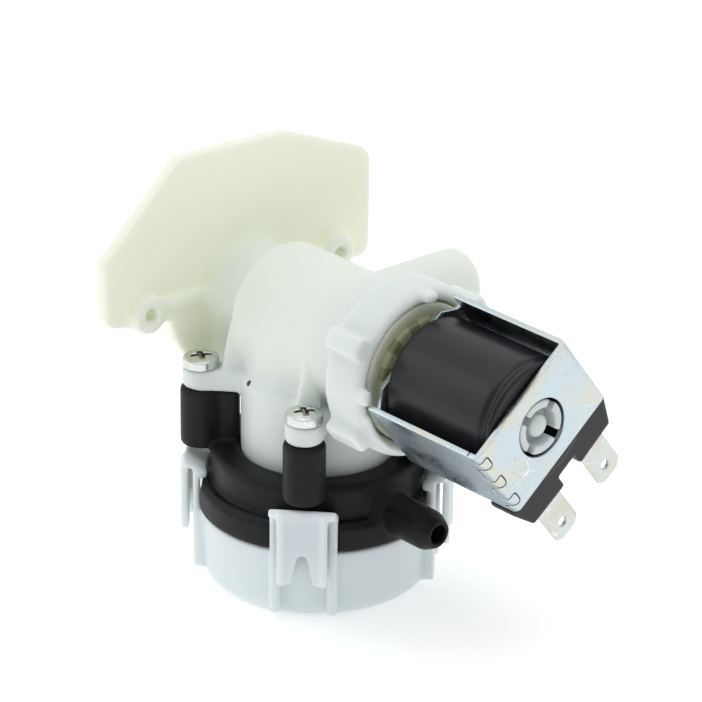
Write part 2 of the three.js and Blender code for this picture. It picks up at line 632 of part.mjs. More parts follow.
const solenoid = new THREE.Group();
solenoid.position.z = valveAxisZ;
solenoid.rotation.x = degrees(solenoidTurn);
solenoid.add(piece('yoke_bracket', 'zincSteel', yokeBracket()));
solenoid.add(piece('yoke_sleeve', 'zincSteel', yokeSleeve()));
solenoid.add(piece('coil_overmould', 'coilPlastic', coilOvermould()));
solenoid.add(piece('coil_bobbin', 'bobbinPlastic', coilBobbin()));
solenoid.add(piece('coil_winding', 'copper', coilWinding()));
solenoid.add(piece('terminal_tab_lower', 'tinnedBrass', terminalTab(-1)));
solenoid.add(piece('terminal_tab_upper', 'tinnedBrass', terminalTab(1)));
solenoid.add(piece('bonnet', 'bonnetPlastic', bonnet()));
solenoid.add(piece('core_cap', 'capPlastic', coreCap()));
solenoid.add(piece('plunger', 'armatureSteel', plunger()));
solenoid.add(piece('plunger_seal', 'rubber', plungerSeal()));
solenoid.add(piece('plunger_spring', 'springSteel', plungerSpring()));
solenoid.add(piece('main_diaphragm', 'rubber', mainDiaphragm()));
solenoid.add(piece('diaphragm_insert', 'capPlastic', diaphragmInsert()));
valve.add(solenoid);

const model = new THREE.Group();
model.add(valve);

export default model;
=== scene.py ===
import math
import bpy
import numpy as np
from mathutils import Matrix, Vector
from mathutils.geometry import delaunay_2d_cdt


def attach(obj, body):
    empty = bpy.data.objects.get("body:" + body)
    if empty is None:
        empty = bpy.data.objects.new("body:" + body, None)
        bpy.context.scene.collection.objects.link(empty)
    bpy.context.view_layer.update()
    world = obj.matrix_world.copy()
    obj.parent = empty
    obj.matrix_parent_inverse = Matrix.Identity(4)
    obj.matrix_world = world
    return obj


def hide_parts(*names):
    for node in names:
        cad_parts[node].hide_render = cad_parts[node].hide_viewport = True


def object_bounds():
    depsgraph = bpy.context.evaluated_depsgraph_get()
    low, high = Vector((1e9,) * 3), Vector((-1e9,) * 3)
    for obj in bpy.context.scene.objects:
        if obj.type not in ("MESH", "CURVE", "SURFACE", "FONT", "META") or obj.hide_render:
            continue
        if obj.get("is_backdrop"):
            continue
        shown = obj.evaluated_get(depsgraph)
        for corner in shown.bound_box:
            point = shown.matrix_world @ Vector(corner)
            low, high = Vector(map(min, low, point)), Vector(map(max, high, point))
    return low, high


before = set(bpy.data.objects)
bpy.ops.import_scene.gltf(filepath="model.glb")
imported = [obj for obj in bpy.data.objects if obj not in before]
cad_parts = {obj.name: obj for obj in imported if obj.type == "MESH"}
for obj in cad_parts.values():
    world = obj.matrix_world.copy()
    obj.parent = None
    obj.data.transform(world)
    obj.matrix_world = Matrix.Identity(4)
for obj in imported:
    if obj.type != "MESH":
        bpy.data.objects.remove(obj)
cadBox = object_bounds()
print("frame loaded:", len(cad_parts), "nodes")

# Lengths below are millimetres, heights counted from the cup's resting face.
mm = 0.001
valveZ = 49.35
tubeZ = 51.0
earAngles = [-48.0, 42.0, 132.0, 222.0]
solenoidTurn = math.radians(38.1)


# The camera: the direction it looks from in degrees, the rest in millimetres.

view = dict(
    azimuth=47.76, elevation=24.02, roll=0.79, distance=641.4, aimRight=5.907, aimUp=44.211,
    lens=179.5, sensor=36.0, farthest=20.0,
)


def linked(made):
    bpy.context.scene.collection.objects.link(made)
    return made


def makeCamera():
    azimuth, elevation, roll = (math.radians(view[k]) for k in ("azimuth", "elevation", "roll"))
    out = math.cos(elevation)
    back = Vector((math.sin(azimuth) * out, -math.cos(azimuth) * out, math.sin(elevation)))
    level = Vector((math.cos(azimuth), math.sin(azimuth), 0))
    upright = back.cross(level)
    right = math.cos(roll) * level + math.sin(roll) * upright
    up = math.cos(roll) * upright - math.sin(roll) * level
    aim = level * view["aimRight"] + Vector((0, 0, view["aimUp"]))
    data = bpy.data.cameras.new("camera")
    data.lens = view["lens"]
    data.sensor_width = view["sensor"]
    data.clip_end = view["farthest"]
    camera = linked(bpy.data.objects.new("camera", data))
    turn = Matrix((right, up, back)).transposed().to_4x4()
    camera.matrix_world = Matrix.Translation((aim + back * view["distance"]) * mm) @ turn
    bpy.context.scene.camera = camera


makeCamera()
print("camera ready")


# Distance fields: each gives the signed distance to a solid, negative inside.

def outside(a, b):
    # distance to the corner where two half spaces meet
    return np.hypot(np.maximum(a, 0), np.maximum(b, 0)) + np.minimum(np.maximum(a, b), 0)


def blend(a, b, radius):
    # the nearer of two solids, with a fillet of about that radius where they meet
    h = np.clip(0.5 + 0.5 * (b - a) / radius, 0, 1)
    return b + (a - b) * h - radius * h * (1 - h)


def cut(solid, *tools):
    for tool in tools:
        solid = np.maximum(solid, -tool)
    return solid


def rod(a, b, along, radius, start, end, edge=0.3):
    # a round bar whose section is in (a, b), with rounded rims
    radial = np.hypot(a, b) - (radius - edge)
    axial = np.abs(along - (start + end) / 2) - ((end - start) / 2 - edge)
    return outside(radial, axial) - edge


def brick(a, b, c, low, high, edge=0.2):
    # a box from low to high with rounded edges
    past = [
        np.abs(v - (lo + hi) / 2) - ((hi - lo) / 2 - edge)
        for v, lo, hi in zip((a, b, c), low, high)
    ]
    far = np.sqrt(sum(np.maximum(v, 0) ** 2 for v in past))
    return far + np.minimum(np.maximum(np.maximum(past[0], past[1]), past[2]), 0) - edge


def polygon(a, b, corners):
    # distance to a closed outline, by the nearest point on each side and the crossing rule for the sign
    corners = np.array(corners, float)
    best = np.full(np.shape(a), np.inf, np.float32)
    sign = np.ones(np.shape(a), np.float32)
    for (x0, y0), (x1, y1) in zip(corners, np.roll(corners, -1, 0)):
        ex, ey = x1 - x0, y1 - y0
        wx, wy = a - x0, b - y0
        t = np.clip((wx * ex + wy * ey) / (ex * ex + ey * ey), 0, 1)
        best = np.minimum(best, (wx - t * ex) ** 2 + (wy - t * ey) ** 2)
        rising = (wy >= 0) & (b < y1) & (ex * wy > ey * wx)
        falling = (wy < 0) & (b >= y1) & (ex * wy < ey * wx)
        sign = np.where(rising | falling, -sign, sign)
    return sign * np.sqrt(best)


def slab(flat, along, start, end):
    # a flat outline's distance carried along an axis
    return outside(flat, np.abs(along - (start + end) / 2) - (end - start) / 2)


def turnXY(x, y, angle):
    # the two coordinates in axes turned by an angle in degrees
    c, s = math.cos(math.radians(angle)), math.sin(math.radians(angle))
    return x * c + y * s, y * c - x * s


def solenoidAxes(y, z):
    # across and height in the turned frame of the solenoid
    c, s = math.cos(solenoidTurn), math.sin(solenoidTurn)
    return y * c + (z - valveZ) * s, (z - valveZ) * c - y * s


# Surfaces made from distance fields.

def meshFrom(name, points, faces, sharpest=None):
    # a smooth-shaded piece, whose edges stay crisp past the angle given in degrees
    mesh = bpy.data.meshes.new(name)
    mesh.from_pydata((points * mm).tolist(), [], faces)
    mesh.polygons.foreach_set("use_smooth", np.ones(len(mesh.polygons), bool))
    if sharpest:
        mesh.set_sharp_from_angle(angle=math.radians(sharpest))
    mesh.update()
    return linked(bpy.data.objects.new(name, mesh))


def sampled(values, places):
    # straight-line mixing of the eight grid values round each place
    low = np.clip(np.floor(places).astype(int), 0, np.array(values.shape) - 2)
    t = places - low
    total = 0
    for i in (0, 1):
        for j in (0, 1):
            for k in (0, 1):
                weight = np.abs(1 - i - t[:, 0]) * np.abs(1 - j - t[:, 1]) * np.abs(1 - k - t[:, 2])
                total = total + weight * values[low[:, 0] + i, low[:, 1] + j, low[:, 2] + k]
    return total


def solidOn(field, low, high, step, softening=2):
    # A solid worked out on a grid: the field is sampled, softened so that edges come out rounded,
    # and its zero surface becomes quads, one point for each grid cell that the surface crosses.
    margin = 3 * step
    low = np.array(low, float) - margin
    counts = np.ceil((np.array(high) + margin - low) / step).astype(int) + 1
    axes = [low[i] + step * np.arange(counts[i]) for i in range(3)]
    x, y, z = (axes[0][:, None, None], axes[1][None, :, None], axes[2][None, None, :])
    x, y, z = (v.astype(np.float32) for v in np.broadcast_arrays(x, y, z))
    values = np.asarray(field(x, y, z), np.float32)
    for _ in range(softening):
        for axis in range(3):
            rows = np.moveaxis(values, axis, 0)
            rows[1:-1] = 0.25 * rows[:-2] + 0.5 * rows[1:-1] + 0.25 * rows[2:]
    inside = values < 0
    cells = tuple(n - 1 for n in values.shape)
    corner = [(i, j, k) for i in (0, 1) for j in (0, 1) for k in (0, 1)]

    def at(grid, c):
        return grid[c[0]:c[0] + cells[0], c[1]:c[1] + cells[1], c[2]:c[2] + cells[2]]

    held = sum(at(inside, c).astype(np.int8) for c in corner)
    i, j, k = np.nonzero((held > 0) & (held < 8))
    number = np.full(cells, -1, np.int64)
    number[i, j, k] = np.arange(len(i))
    total = np.zeros((len(i), 3))
    crossings = np.zeros(len(i))
    for a in corner:
        for axis in range(3):
            if a[axis]:
                continue
            b = tuple(1 if n == axis else a[n] for n in range(3))
            va = values[i + a[0], j + a[1], k + a[2]]
            vb = values[i + b[0], j + b[1], k + b[2]]
            crossed = (va < 0) != (vb < 0)
            t = np.where(crossed, va / np.where(crossed, va - vb, 1), 0)
            crossing = np.tile(np.array(a, float), (len(i), 1))
            crossing[:, axis] = t
            total += crossing * crossed[:, None]
            crossings += crossed
    places = np.stack([i, j, k], 1) + total / crossings[:, None]
    # each point then slides along the slope until it lies on the surface
    for _ in range(3):
        here = sampled(values, places)
        slope = np.stack([
            sampled(values, places + d) - sampled(values, places - d) for d in 0.5 * np.eye(3)
        ], 1)
        shift = here[:, None] * slope / np.maximum((slope ** 2).sum(1), 1e-9)[:, None]
        places -= np.clip(shift, -0.5, 0.5)
    quads = []
    for axis in range(3):
        p, q = (axis + 1) % 3, (axis + 2) % 3
        first = np.moveaxis(inside, axis, 0)
        changed = np.moveaxis(first[:-1] != first[1:], 0, axis)
        edge = np.stack(np.nonzero(changed), 1)
        room = np.ones(len(edge), bool)
        for n in (p, q):
            room &= (edge[:, n] > 0) & (edge[:, n] < cells[n])
        edge = edge[room]
        ring = []
        for dp, dq in ((-1, -1), (0, -1), (0, 0), (-1, 0)):
            cell = edge.copy()
            cell[:, p] += dp
            cell[:, q] += dq
            ring.append(number[cell[:, 0], cell[:, 1], cell[:, 2]])
        quad = np.stack(ring, 1)
        outward = inside[edge[:, 0], edge[:, 1], edge[:, 2]]
        quad[~outward] = quad[~outward][:, ::-1]
        quads.append(quad)
    return low + places * step, np.concatenate(quads)


def moulded(name, field, low, high, step, softening=2):
    points, quads = solidOn(field, low, high, step, softening)
    print(name, len(quads), "quads")
    return meshFrom(name, points, quads.tolist())


def place(piece, body, slotName, *nodes):
    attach(piece, body)
    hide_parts(*nodes)
    return piece


# The valve body.

bodySize = dict(
    plateFront=-22.0, plateBack=-25.2, lobe=17.3,
    plateOutline=[
        (-31.9, 51.4), (-31.3, 50.1), (-30, 49.4), (-24, 48.0), (0, 45.8), (24, 48.0), (30.8, 47.7),
        (32.6, 49.4), (32.6, 67.4), (32, 69.0), (30.6, 70.2), (11.6, 77.8), (-13.4, 78.8), (-14.6, 78.2),
        (-31.9, 62.4),
    ],
    bossY=23.0, bossRadius=3.75, bossHeight=2.3, bossHole=1.3,
    inletRadius=9.0, inletBore=6.4, spigotEnd=-34.0,
    tubeRadius=12.5, tubeAxisZ=49.9, tubeBack=-11.0,
    neckRadius=13.5, spigotRadius=14.3, spigotBore=11.2, spigotBottom=20.7, shelf=40.4,
    collarBack=19.3, collarFront=28.3, collarRadius=16.1, barRadius=18.2, barAngles=(30, 150, 214, 326),
    chamberRadius=12.7, chamberBack=22.5, hookAngles=(0, 90, 180, 270), lipTop=45.3,
    spoutX=2.6, spoutZ=50.2, spoutRadius=6.4, spoutRoot=6.8, spoutBore=4.4, spoutEnd=32.8,
    earCircle=21.8, earRadius=3.55, earBottom=36.2, earTop=40.0, earHole=1.9, headRoom=3.7,
    finFoot=39.0, finTop=51.35,
)


def earField(x, y, z, angle):
    # a round ear on an arm, with a thin fin that leans up to the tube, and room for the screw's head
    s = bodySize
    u, v = turnXY(x, y, angle)
    ear = rod(u - s["earCircle"], v, z, s["earRadius"], s["earBottom"], s["earTop"], 0.35)
    arm = brick(u, v, z, (12.3, -2.3, s["earBottom"]), (s["earCircle"], 3.4, s["earTop"]), 0.3)
    rise = np.clip((z - s["finFoot"]) / (s["finTop"] - s["finFoot"]), 0, 1)
    fin = np.maximum(np.abs(v) - (2.55 - 2.2 * rise), u - (18.1 - 2.2 * rise)) * 0.97
    fin = np.maximum(np.maximum(fin, 10.8 - u), np.maximum(z - s["finTop"], 38.0 - z))
    ear = blend(blend(ear, arm, 0.5), fin, 0.5)
    if angle == earAngles[0]:
        web = polygon(u, v, [(12.3, 0), (13.0, 6.4), (21.8, 3.25), (21.8, 0)])
        ear = np.minimum(ear, slab(web, z, 36.7, 39.6))
    head = rod(u - s["earCircle"], v, z, s["headRoom"], s["earTop"], 46.0, 0.1)
    hole = rod(u - s["earCircle"], v, z, s["earHole"], 30, 45, 0.1)
    return cut(ear, head), hole


def bodyField(x, y, z):
    # plate, inlet, tube, neck, spout, ears and collar blended into one solid, then cut by the passages
    s = bodySize
    dzTube = z - tubeZ
    dzValve = z - valveZ
    flat = np.minimum(polygon(y, z, s["plateOutline"]), np.hypot(y, dzTube) - s["lobe"])
    plate = slab(flat, x, s["plateBack"], s["plateFront"])
    side = np.abs(y)
    bossFace = s["plateFront"] + s["bossHeight"]
    boss = rod(side - s["bossY"], dzTube, x, s["bossRadius"], s["plateBack"], bossFace, 0.4)
    armLow = (-23.0, 7.5, tubeZ - 0.9)
    armHigh = (bossFace - 0.6, 21.0, tubeZ + 1.9)
    plate = blend(plate, np.minimum(boss, brick(x, side, z, armLow, armHigh, 0.5)), 0.7)
    inlet = rod(y, dzTube, x, s["inletRadius"], s["spigotEnd"], -8.0, 0.6)
    skirt = brick(x, y, z, (-23, -7.6, 36.5), (-8, 7.6, 51.0), 1.0)
    tube = rod(y, z - s["tubeAxisZ"], x, s["tubeRadius"], s["tubeBack"], s["collarBack"] + 2, 1.6)
    radius = np.hypot(x, y)
    neck = polygon(radius, z, [
        (0, s["spigotBottom"]), (s["spigotRadius"] - 0.6, s["spigotBottom"]),
        (s["spigotRadius"], s["spigotBottom"] + 0.6), (s["spigotRadius"], s["shelf"] - 0.4),
        (s["neckRadius"], s["shelf"] + 0.2), (s["tubeRadius"], valveZ), (0, valveZ),
    ])
    neck = cut(neck, brick(radius, 0 * y, z, (13.0, -1, 22.0), (15.5, 1, 23.7), 0.2))
    spoutTaper = s["spoutRoot"] + (s["spoutRadius"] - s["spoutRoot"]) * np.clip(y / s["spoutEnd"], 0, 1)
    spoutRim = 0.5
    spout = outside(np.hypot(x - s["spoutX"], z - s["spoutZ"]) - spoutTaper + spoutRim,
                    np.abs(y - s["spoutEnd"] / 2) - s["spoutEnd"] / 2 + spoutRim) - spoutRim

    fromAxis = np.hypot(y, dzValve)
    rim, front = s["collarRadius"], s["collarFront"]
    shell = polygon(fromAxis, x, [
        (0, s["collarBack"]), (rim - 0.5, s["collarBack"]), (rim, s["collarBack"] + 0.5),
        (rim, front - 1.9), (rim - 0.3, front - 0.9), (rim - 1.0, front - 0.2), (rim - 1.5, front),
        (0, front),
    ])
    for angle in s["barAngles"]:
        u, v = turnXY(y, dzValve, angle)
        bar = brick(x, u, v, (s["collarBack"], 14.0, -2.1), (27.9, s["barRadius"], 2.1), 0.7)
        shell = blend(shell, bar, 0.5)
    chamber = polygon(fromAxis, x, [
        (0, s["chamberBack"]), (s["chamberRadius"], s["chamberBack"]), (s["chamberRadius"], 24.8),
        (13.2, 24.8), (13.2, 26.6), (13.45, 27.4),
        (13.9, 28.0), (14.5, 28.6), (14.5, 45), (0, 45),
    ])

    solid = blend(plate, blend(inlet, skirt, 1.2), 2.6)
    solid = blend(solid, blend(tube, neck, 1.2), 1.0)
    solid = blend(solid, spout, 1.4)
    for angle in earAngles:
        ear, hole = earField(x, y, z, angle)
        solid = cut(blend(solid, ear, 0.8), hole)
    solid = blend(solid, shell, 0.7)
    passages = [
        chamber,
        polygon(fromAxis, x, [(5.4, 14.5), (10.6, 14.5), (10.6, 23), (5.4, 23)]),
        rod(y, dzValve, x, 3.9, s["spoutX"], 24, 0.1),
        rod(y, dzTube, x, s["inletBore"], -45, -5, 0.5),
        rod(y, dzTube - 4.6, x, 2.2, -8, 15, 0.1),
        rod(x - s["spoutX"], z - s["spoutZ"], y, s["spoutBore"], 0, 45, 0.1),
        rod(x - s["spoutX"], y, z, 3.6, 19, s["spoutZ"], 0.1),
        rod(x, y, z, s["spigotBore"], 10, 35.7, 0.5),
        rod(side - s["bossY"], dzTube, x, s["bossHole"], -40, -17, 0.1),
        polygon(np.hypot(y, dzTube), x, [(7.6, -31), (10, -31), (10, -28.6), (7.6, -28.6)]),
    ]
    solid = cut(solid, *passages)
    for angle in s["hookAngles"]:
        u, v = turnXY(y, dzValve, angle)
        solid = blend(solid, brick(x, u, v, (25.8, 14.1, -1.4), (30.3, 16.0, 1.4), 0.4), 0.3)
    lip = slab(np.abs(fromAxis - 14.55) - 0.65, x, 27.3, 29.25)
    return np.minimum(solid, np.maximum(lip, z - s["lipTop"]))


valveBody = moulded("valveBody", bodyField, (-34, -32.6, 20.6), (30.5, 32.9, 79), 0.49, 1)
place(valveBody, "root", "natural_plastic", "valve_body")


# The membrane housing.

housingSize = dict(
    bottom=13.7, flange=22.3, ring=19.9, ringTop=25.8, lowerBore=18.2, ceiling=18.6,
    upperBore=14.5, floor=20.4, passage=12.5, postRadius=3.9, postBottom=24.5, postTop=36.05,
    postHole=1.9, nippleZ=19.1, nippleRadius=3.8, nippleBore=1.8, nippleEnd=33.2,
)


def housingField(x, y, z):
    # a stepped bell with a nipple and four posts, notched under the clips and bored from both ends
    s = housingSize
    out = bodySize["earCircle"]
    radius = np.hypot(x, y)
    flange, ring, top = s["flange"], s["ring"], s["ringTop"]
    bell = polygon(radius, z, [
        (s["lowerBore"], s["bottom"]), (flange, s["bottom"]), (flange, 18.3), (flange - 0.3, 18.8),
        (flange - 0.7, 18.8), (flange - 0.9, 19.4), (ring + 0.7, 19.4), (ring + 0.5, 19.1), (ring, 19.1),
        (ring, top - 1.1), (ring - 0.4, top - 0.4), (ring - 1.2, top), (s["upperBore"], top),
        (s["upperBore"], s["floor"]), (s["passage"], s["floor"]), (s["passage"], s["ceiling"]),
        (s["lowerBore"], s["ceiling"]),
    ])
    end, outer = s["nippleEnd"], s["nippleRadius"]
    nipple = polygon(np.hypot(y, z - s["nippleZ"]), x, [
        (0, 17), (outer, 17), (outer, end - 2.7), (outer - 1.05, end - 0.5), (outer - 1.4, end), (0, end),
    ])
    root = rod(y, z - s["nippleZ"] - 0.3, x, 4.9, 17, 20.9, 0.6)
    solid = blend(bell, blend(nipple, root, 1.6), 1.0)
    for angle in earAngles:
        u, v = turnXY(x, y, angle)
        notch = brick(u, v, z, (21.0, -7.0, 12.7), (24.5, 7.0, 20.2), 0.1)
        post = rod(u - out, v, z, s["postRadius"], s["postBottom"], s["postTop"], 0.35)
        web = brick(u, v, z, (14.7, -2.0, s["postBottom"]), (out, 2.0, s["postTop"]), 0.3)
        hole = rod(u - out, v, z, s["postHole"], s["postBottom"] + 1.5, 45, 0.1)
        solid = blend(cut(solid, notch), blend(post, web, 0.6), 0.5)
        solid = cut(solid, hole)
    bores = [
        rod(x, y, z, s["lowerBore"], 8, s["ceiling"], 0.1),
        rod(x, y, z, s["upperBore"], s["floor"], 45, 0.1),
        rod(x, y, z, s["passage"], 17, 21, 0.1),
        rod(y, z - s["nippleZ"], x, s["nippleBore"], 15, 45, 0.1),
    ]
    return cut(solid, *bores)


membraneHousing = moulded("membraneHousing", housingField, (-26, -26, 13.6), (33.3, 26, 36.8), 0.34, 2)
place(membraneHousing, "root", "black_nylon", "membrane_housing")


# The cup with its clips.

cupSize = dict(
    rim=13.5, inner=16.8, floor=2.1, legInner=20.0, clipHalf=6.2, clipTop=23.5, tongueHalf=4.6,
    tongueBottom=8.3, tongueOut=24.6, notchTop=13.3, notchRadius=0.9,
    topSlope=0.56, topOut=24.3, slopeScale=1.15,
)


def cupField(x, y, z):
    # a bowl turned round Z, and four clips: two legs, a hook, a bar and a ribbed tongue with a notch
    s = cupSize
    radius = np.hypot(x, y)
    bowl = polygon(radius, z, [
        (0, 0), (18.4, 0), (20.0, 0.4), (20.9, 1.2), (21.2, 2.6), (21.8, s["rim"]), (19.4, s["rim"]),
        (19.4, 11.4), (s["inner"], 11.4), (s["inner"], s["floor"]), (0, s["floor"]),
    ])
    solid = np.minimum(bowl, polygon(radius, z, [(3.4, 1.6), (4.5, 1.6), (4.5, 3.7), (3.4, 3.7)]))
    half, top, reach = s["clipHalf"], s["clipTop"], s["tongueHalf"]
    low, out = s["tongueBottom"], s["tongueOut"]
    for angle in earAngles:
        u, v = turnXY(x, y, angle)
        side = np.abs(v)
        room = brick(u, v, z, (18.0, -7.2, s["rim"]), (21.3, 7.2, 19.7), 0.05)
        leg = brick(u, side, z, (s["legInner"], 4.3, 1.3), (22.6, half, top), 0.25)
        hookFlat = polygon(u, z, [(20.35, 20.2), (20.35, top), (22.6, top), (22.6, 19.8), (20.75, 19.8)])
        hook = slab(hookFlat, v, -half, half)
        bar = brick(u, v, z, (22.1, -half, 21.5), (out, half, top), 0.25)
        tongue = brick(u, v, z, (23.7, -reach, low), (out, reach, top), 0.2)
        rib = brick(u, side, z, (24.1, 3.2, low), (25.2, reach, top - 0.3), 0.25)
        tip, wide = s["notchTop"], s["notchRadius"]
        notch = polygon(v, z, [(-2.2, low - 1), (-wide, tip), (wide, tip), (2.2, low - 1)])
        notch = np.minimum(notch, np.hypot(v, z - tip) - wide)
        hanging = cut(blend(tongue, rib, 0.3), slab(notch, u, 22.6, 26.5))
        clip = np.minimum(np.minimum(leg, hook), blend(bar, hanging, 0.5))
        slant = z - top + s["topSlope"] * (s["topOut"] - u)
        clip = np.maximum(clip, slant / s["slopeScale"])
        solid = blend(cut(solid, room), cut(clip, room), 0.3)
    return solid


baseCup = moulded("baseCup", cupField, (-26, -26, 0), (26, 26, 24.2), 0.34, 1)
place(baseCup, "root", "natural_plastic", "base_cup")


# Coil, bonnet and cap, round the solenoid's own axis.

coilSize = dict(
    radius=11.7, mouth=10.95, inner=10.5, back=30.8, front=56.45, eye=8.2, grooveStart=54.2, grooveEnd=55.2,
    grooveFloor=11.1, blockBack=50.6, blockFront=56.3, tabX=54.5, tabOffset=6.45,
)


def coilField(x, y, z):
    # a grooved shell turned round the solenoid's axis, and a terminal block with two slots for the tabs
    s = coilSize
    u, w = solenoidAxes(y, z)
    radius = np.hypot(u, w)
    outer, front, deep = s["radius"], s["front"], s["grooveFloor"]
    shell = polygon(radius, x, [
        (s["mouth"], s["back"]), (outer - 0.4, s["back"]), (outer, s["back"] + 0.4),
        (outer, s["grooveStart"] - 0.5), (outer - 0.2, s["grooveStart"] - 0.1), (deep, s["grooveStart"]),
        (deep, s["grooveEnd"]), (outer - 0.2, s["grooveEnd"] + 0.2), (outer - 0.2, front - 0.45),
        (outer - 0.6, front), (s["eye"], front), (s["eye"], front - 0.9), (s["inner"], front - 0.9),
        (s["inner"], s["back"] + 1.5), (s["mouth"], s["back"] + 1.4),
    ])
    block = polygon(u, w, [
        (-10.6, -7), (-10.6, -8.9), (-13.5, -8.9), (-13.5, -10), (-11.4, -15.7), (-2.4, -16), (-2.4, -13.4),
        (2.4, -13.4), (2.4, -16), (11.4, -15.7), (13.5, -10), (13.5, -8.9), (10.6, -8.9), (10.6, -7),
    ])
    block = slab(block, x, s["blockBack"], s["blockFront"])
    block = cut(block, rod(u, w, x, s["mouth"], 30, 55.5, 0.05))
    slots = brick(x, np.abs(u), w, (53.95, 3.15, -27), (55.05, 9.75, -11.75), 0.05)
    return cut(np.minimum(shell, block), slots)


coilOvermould = moulded("coilOvermould", coilField, (30.7, -11.8, 29.5), (56.5, 19, 61.2), 0.3, 1)
place(coilOvermould, "root", "coil_plastic", "coil_overmould")


bonnetSize = dict(
    flange=12.9, back=23.2, flangeFront=27.4, step=10.4, tube=6.0, bore=4.75, end=53.2, skirt=9.6,
)


def bonnetField(x, y, z):
    # a flanged tube closed at its far end, turned round the solenoid's axis
    s = bonnetSize
    u, w = solenoidAxes(y, z)
    face = s["flangeFront"]
    return polygon(np.hypot(u, w), x, [
        (s["skirt"], s["back"]), (s["flange"], s["back"]), (s["flange"], face), (s["step"], face),
        (s["step"], face + 0.8), (s["tube"] + 0.3, face + 0.8), (s["tube"], face + 1.4),
        (s["tube"], s["end"]), (0, s["end"]), (0, s["end"] - 1.2), (s["bore"], s["end"] - 1.2),
        (s["bore"], face - 1.1), (s["skirt"], face - 1.1),
    ])


bonnet = moulded("bonnet", bonnetField, (23.1, -13, 36.3), (53.3, 13, 62.4), 0.3, 1)
place(bonnet, "root", "bonnet_plastic", "bonnet")


capSize = dict(radius=5.05, back=53.5, wallRadius=4.28, wallHalf=0.65, end=57.5, slots=(20, 110), pin=2.05)


def capField(x, y, z):
    # a disk with a slotted ring wall and a domed pin in its middle
    s = capSize
    u, w = solenoidAxes(y, z)
    radius = np.hypot(u, w)
    floor = s["back"] + 1.0
    disk = rod(u, w, x, s["radius"], s["back"], floor, 0.1)
    wall = slab(np.abs(radius - s["wallRadius"]) - s["wallHalf"], x, floor - 0.5, s["end"]) - 0.12
    for angle in s["slots"]:
        a, b = turnXY(u, w, angle)
        wall = cut(wall, brick(a, b, x, (-7, -0.75, floor), (7, 0.75, 60), 0.1))
    dome = np.sqrt(radius ** 2 + (x - 54.2) ** 2) - 3.35
    pin = np.maximum(rod(u, w, x, s["pin"], floor - 0.5, s["end"] + 0.1, 0.5), dome)
    return np.minimum(np.minimum(disk, wall), pin)


coreCap = moulded("coreCap", capField, (53.4, -5.2, 44.1), (57.8, 5.2, 54.6), 0.16, 2)
place(coreCap, "root", "cap_plastic", "core_cap")


# The four screws.

screwSize = dict(headRadius=3.4, headHeight=2.3, gap=0.02, shankRadius=1.6, length=13.0, turn=20.0)


def screwField(x, y, z):
    # a pan head cut by a sphere, on a pointed shank, with a cross recess that narrows downwards
    s = screwSize
    radius = np.hypot(x, y)
    head = rod(x, y, z, s["headRadius"], s["gap"], s["headHeight"], 0.65)
    head = np.maximum(head, np.sqrt(radius ** 2 + (z + 7.6) ** 2) - 9.95)
    washer = rod(x, y, z, s["headRadius"], s["gap"], 0.9, 0.15)
    tip, shaft = -s["length"], s["shankRadius"]
    shank = polygon(radius, z, [(0, tip), (0.5, tip), (shaft, tip + 1.6), (shaft, 0.5), (0, 0.5)])
    solid = np.minimum(np.minimum(head, washer), shank)
    deep = 0.85 + 0.3 * (np.abs(x) + np.abs(y))
    cross = np.minimum(brick(x, y, z, (-1.9, -0.5, deep), (1.9, 0.5, 5), 0.05),
                       brick(x, y, z, (-0.5, -1.9, deep), (0.5, 1.9, 5), 0.05))
    core = polygon(radius, z, [(0, 0.5), (0.5, 0.7), (1.0, 2.4), (1.0, 4), (0, 4)])
    return cut(solid, blend(cross, core, 0.2))


screwPoints, screwQuads = solidOn(screwField, (-3.5, -3.5, -13), (3.5, 3.5, 2.4), 0.13, 1)
screwFaces = screwQuads.tolist()
screws = []
for screwName, angle in zip(("Front", "Right", "Rear", "Left"), earAngles):
    t = math.radians(angle + screwSize["turn"])
    turn = np.array([(math.cos(t), math.sin(t), 0), (-math.sin(t), math.cos(t), 0), (0, 0, 1)])
    centre = (bodySize["earCircle"] * math.cos(math.radians(angle)),
              bodySize["earCircle"] * math.sin(math.radians(angle)), bodySize["earTop"])
    screw = meshFrom("screw" + screwName, screwPoints @ turn + centre, screwFaces)
    screws.append(place(screw, "root", "zinc_steel", "screw_" + screwName.lower()))
print("screws", len(screwFaces), "quads each")


# The yoke: a steel strip drawn flat, then bent into a loop.

yokeSize = dict(
    back=29.45, front=57.8, halfLong=13.2, halfWide=8.5, thickness=1.0, bend=1.3, edge=0.12,
    frontHole=5.45, backHole=6.5, clip=2.9, seam=0.2,
)


def yokeLengths():
    # lengths along the strip: half the seamed bend, end plate, bend, side, bend, back, bend, side
    # and the other half of the seamed bend
    s = yokeSize
    arc = s["bend"] * math.pi / 2
    long = 2 * (s["halfLong"] - s["bend"])
    deep = s["front"] - s["back"] - 2 * s["bend"]
    return np.cumsum([0, arc / 2, long, arc, deep, arc, long, arc, deep, arc / 2])


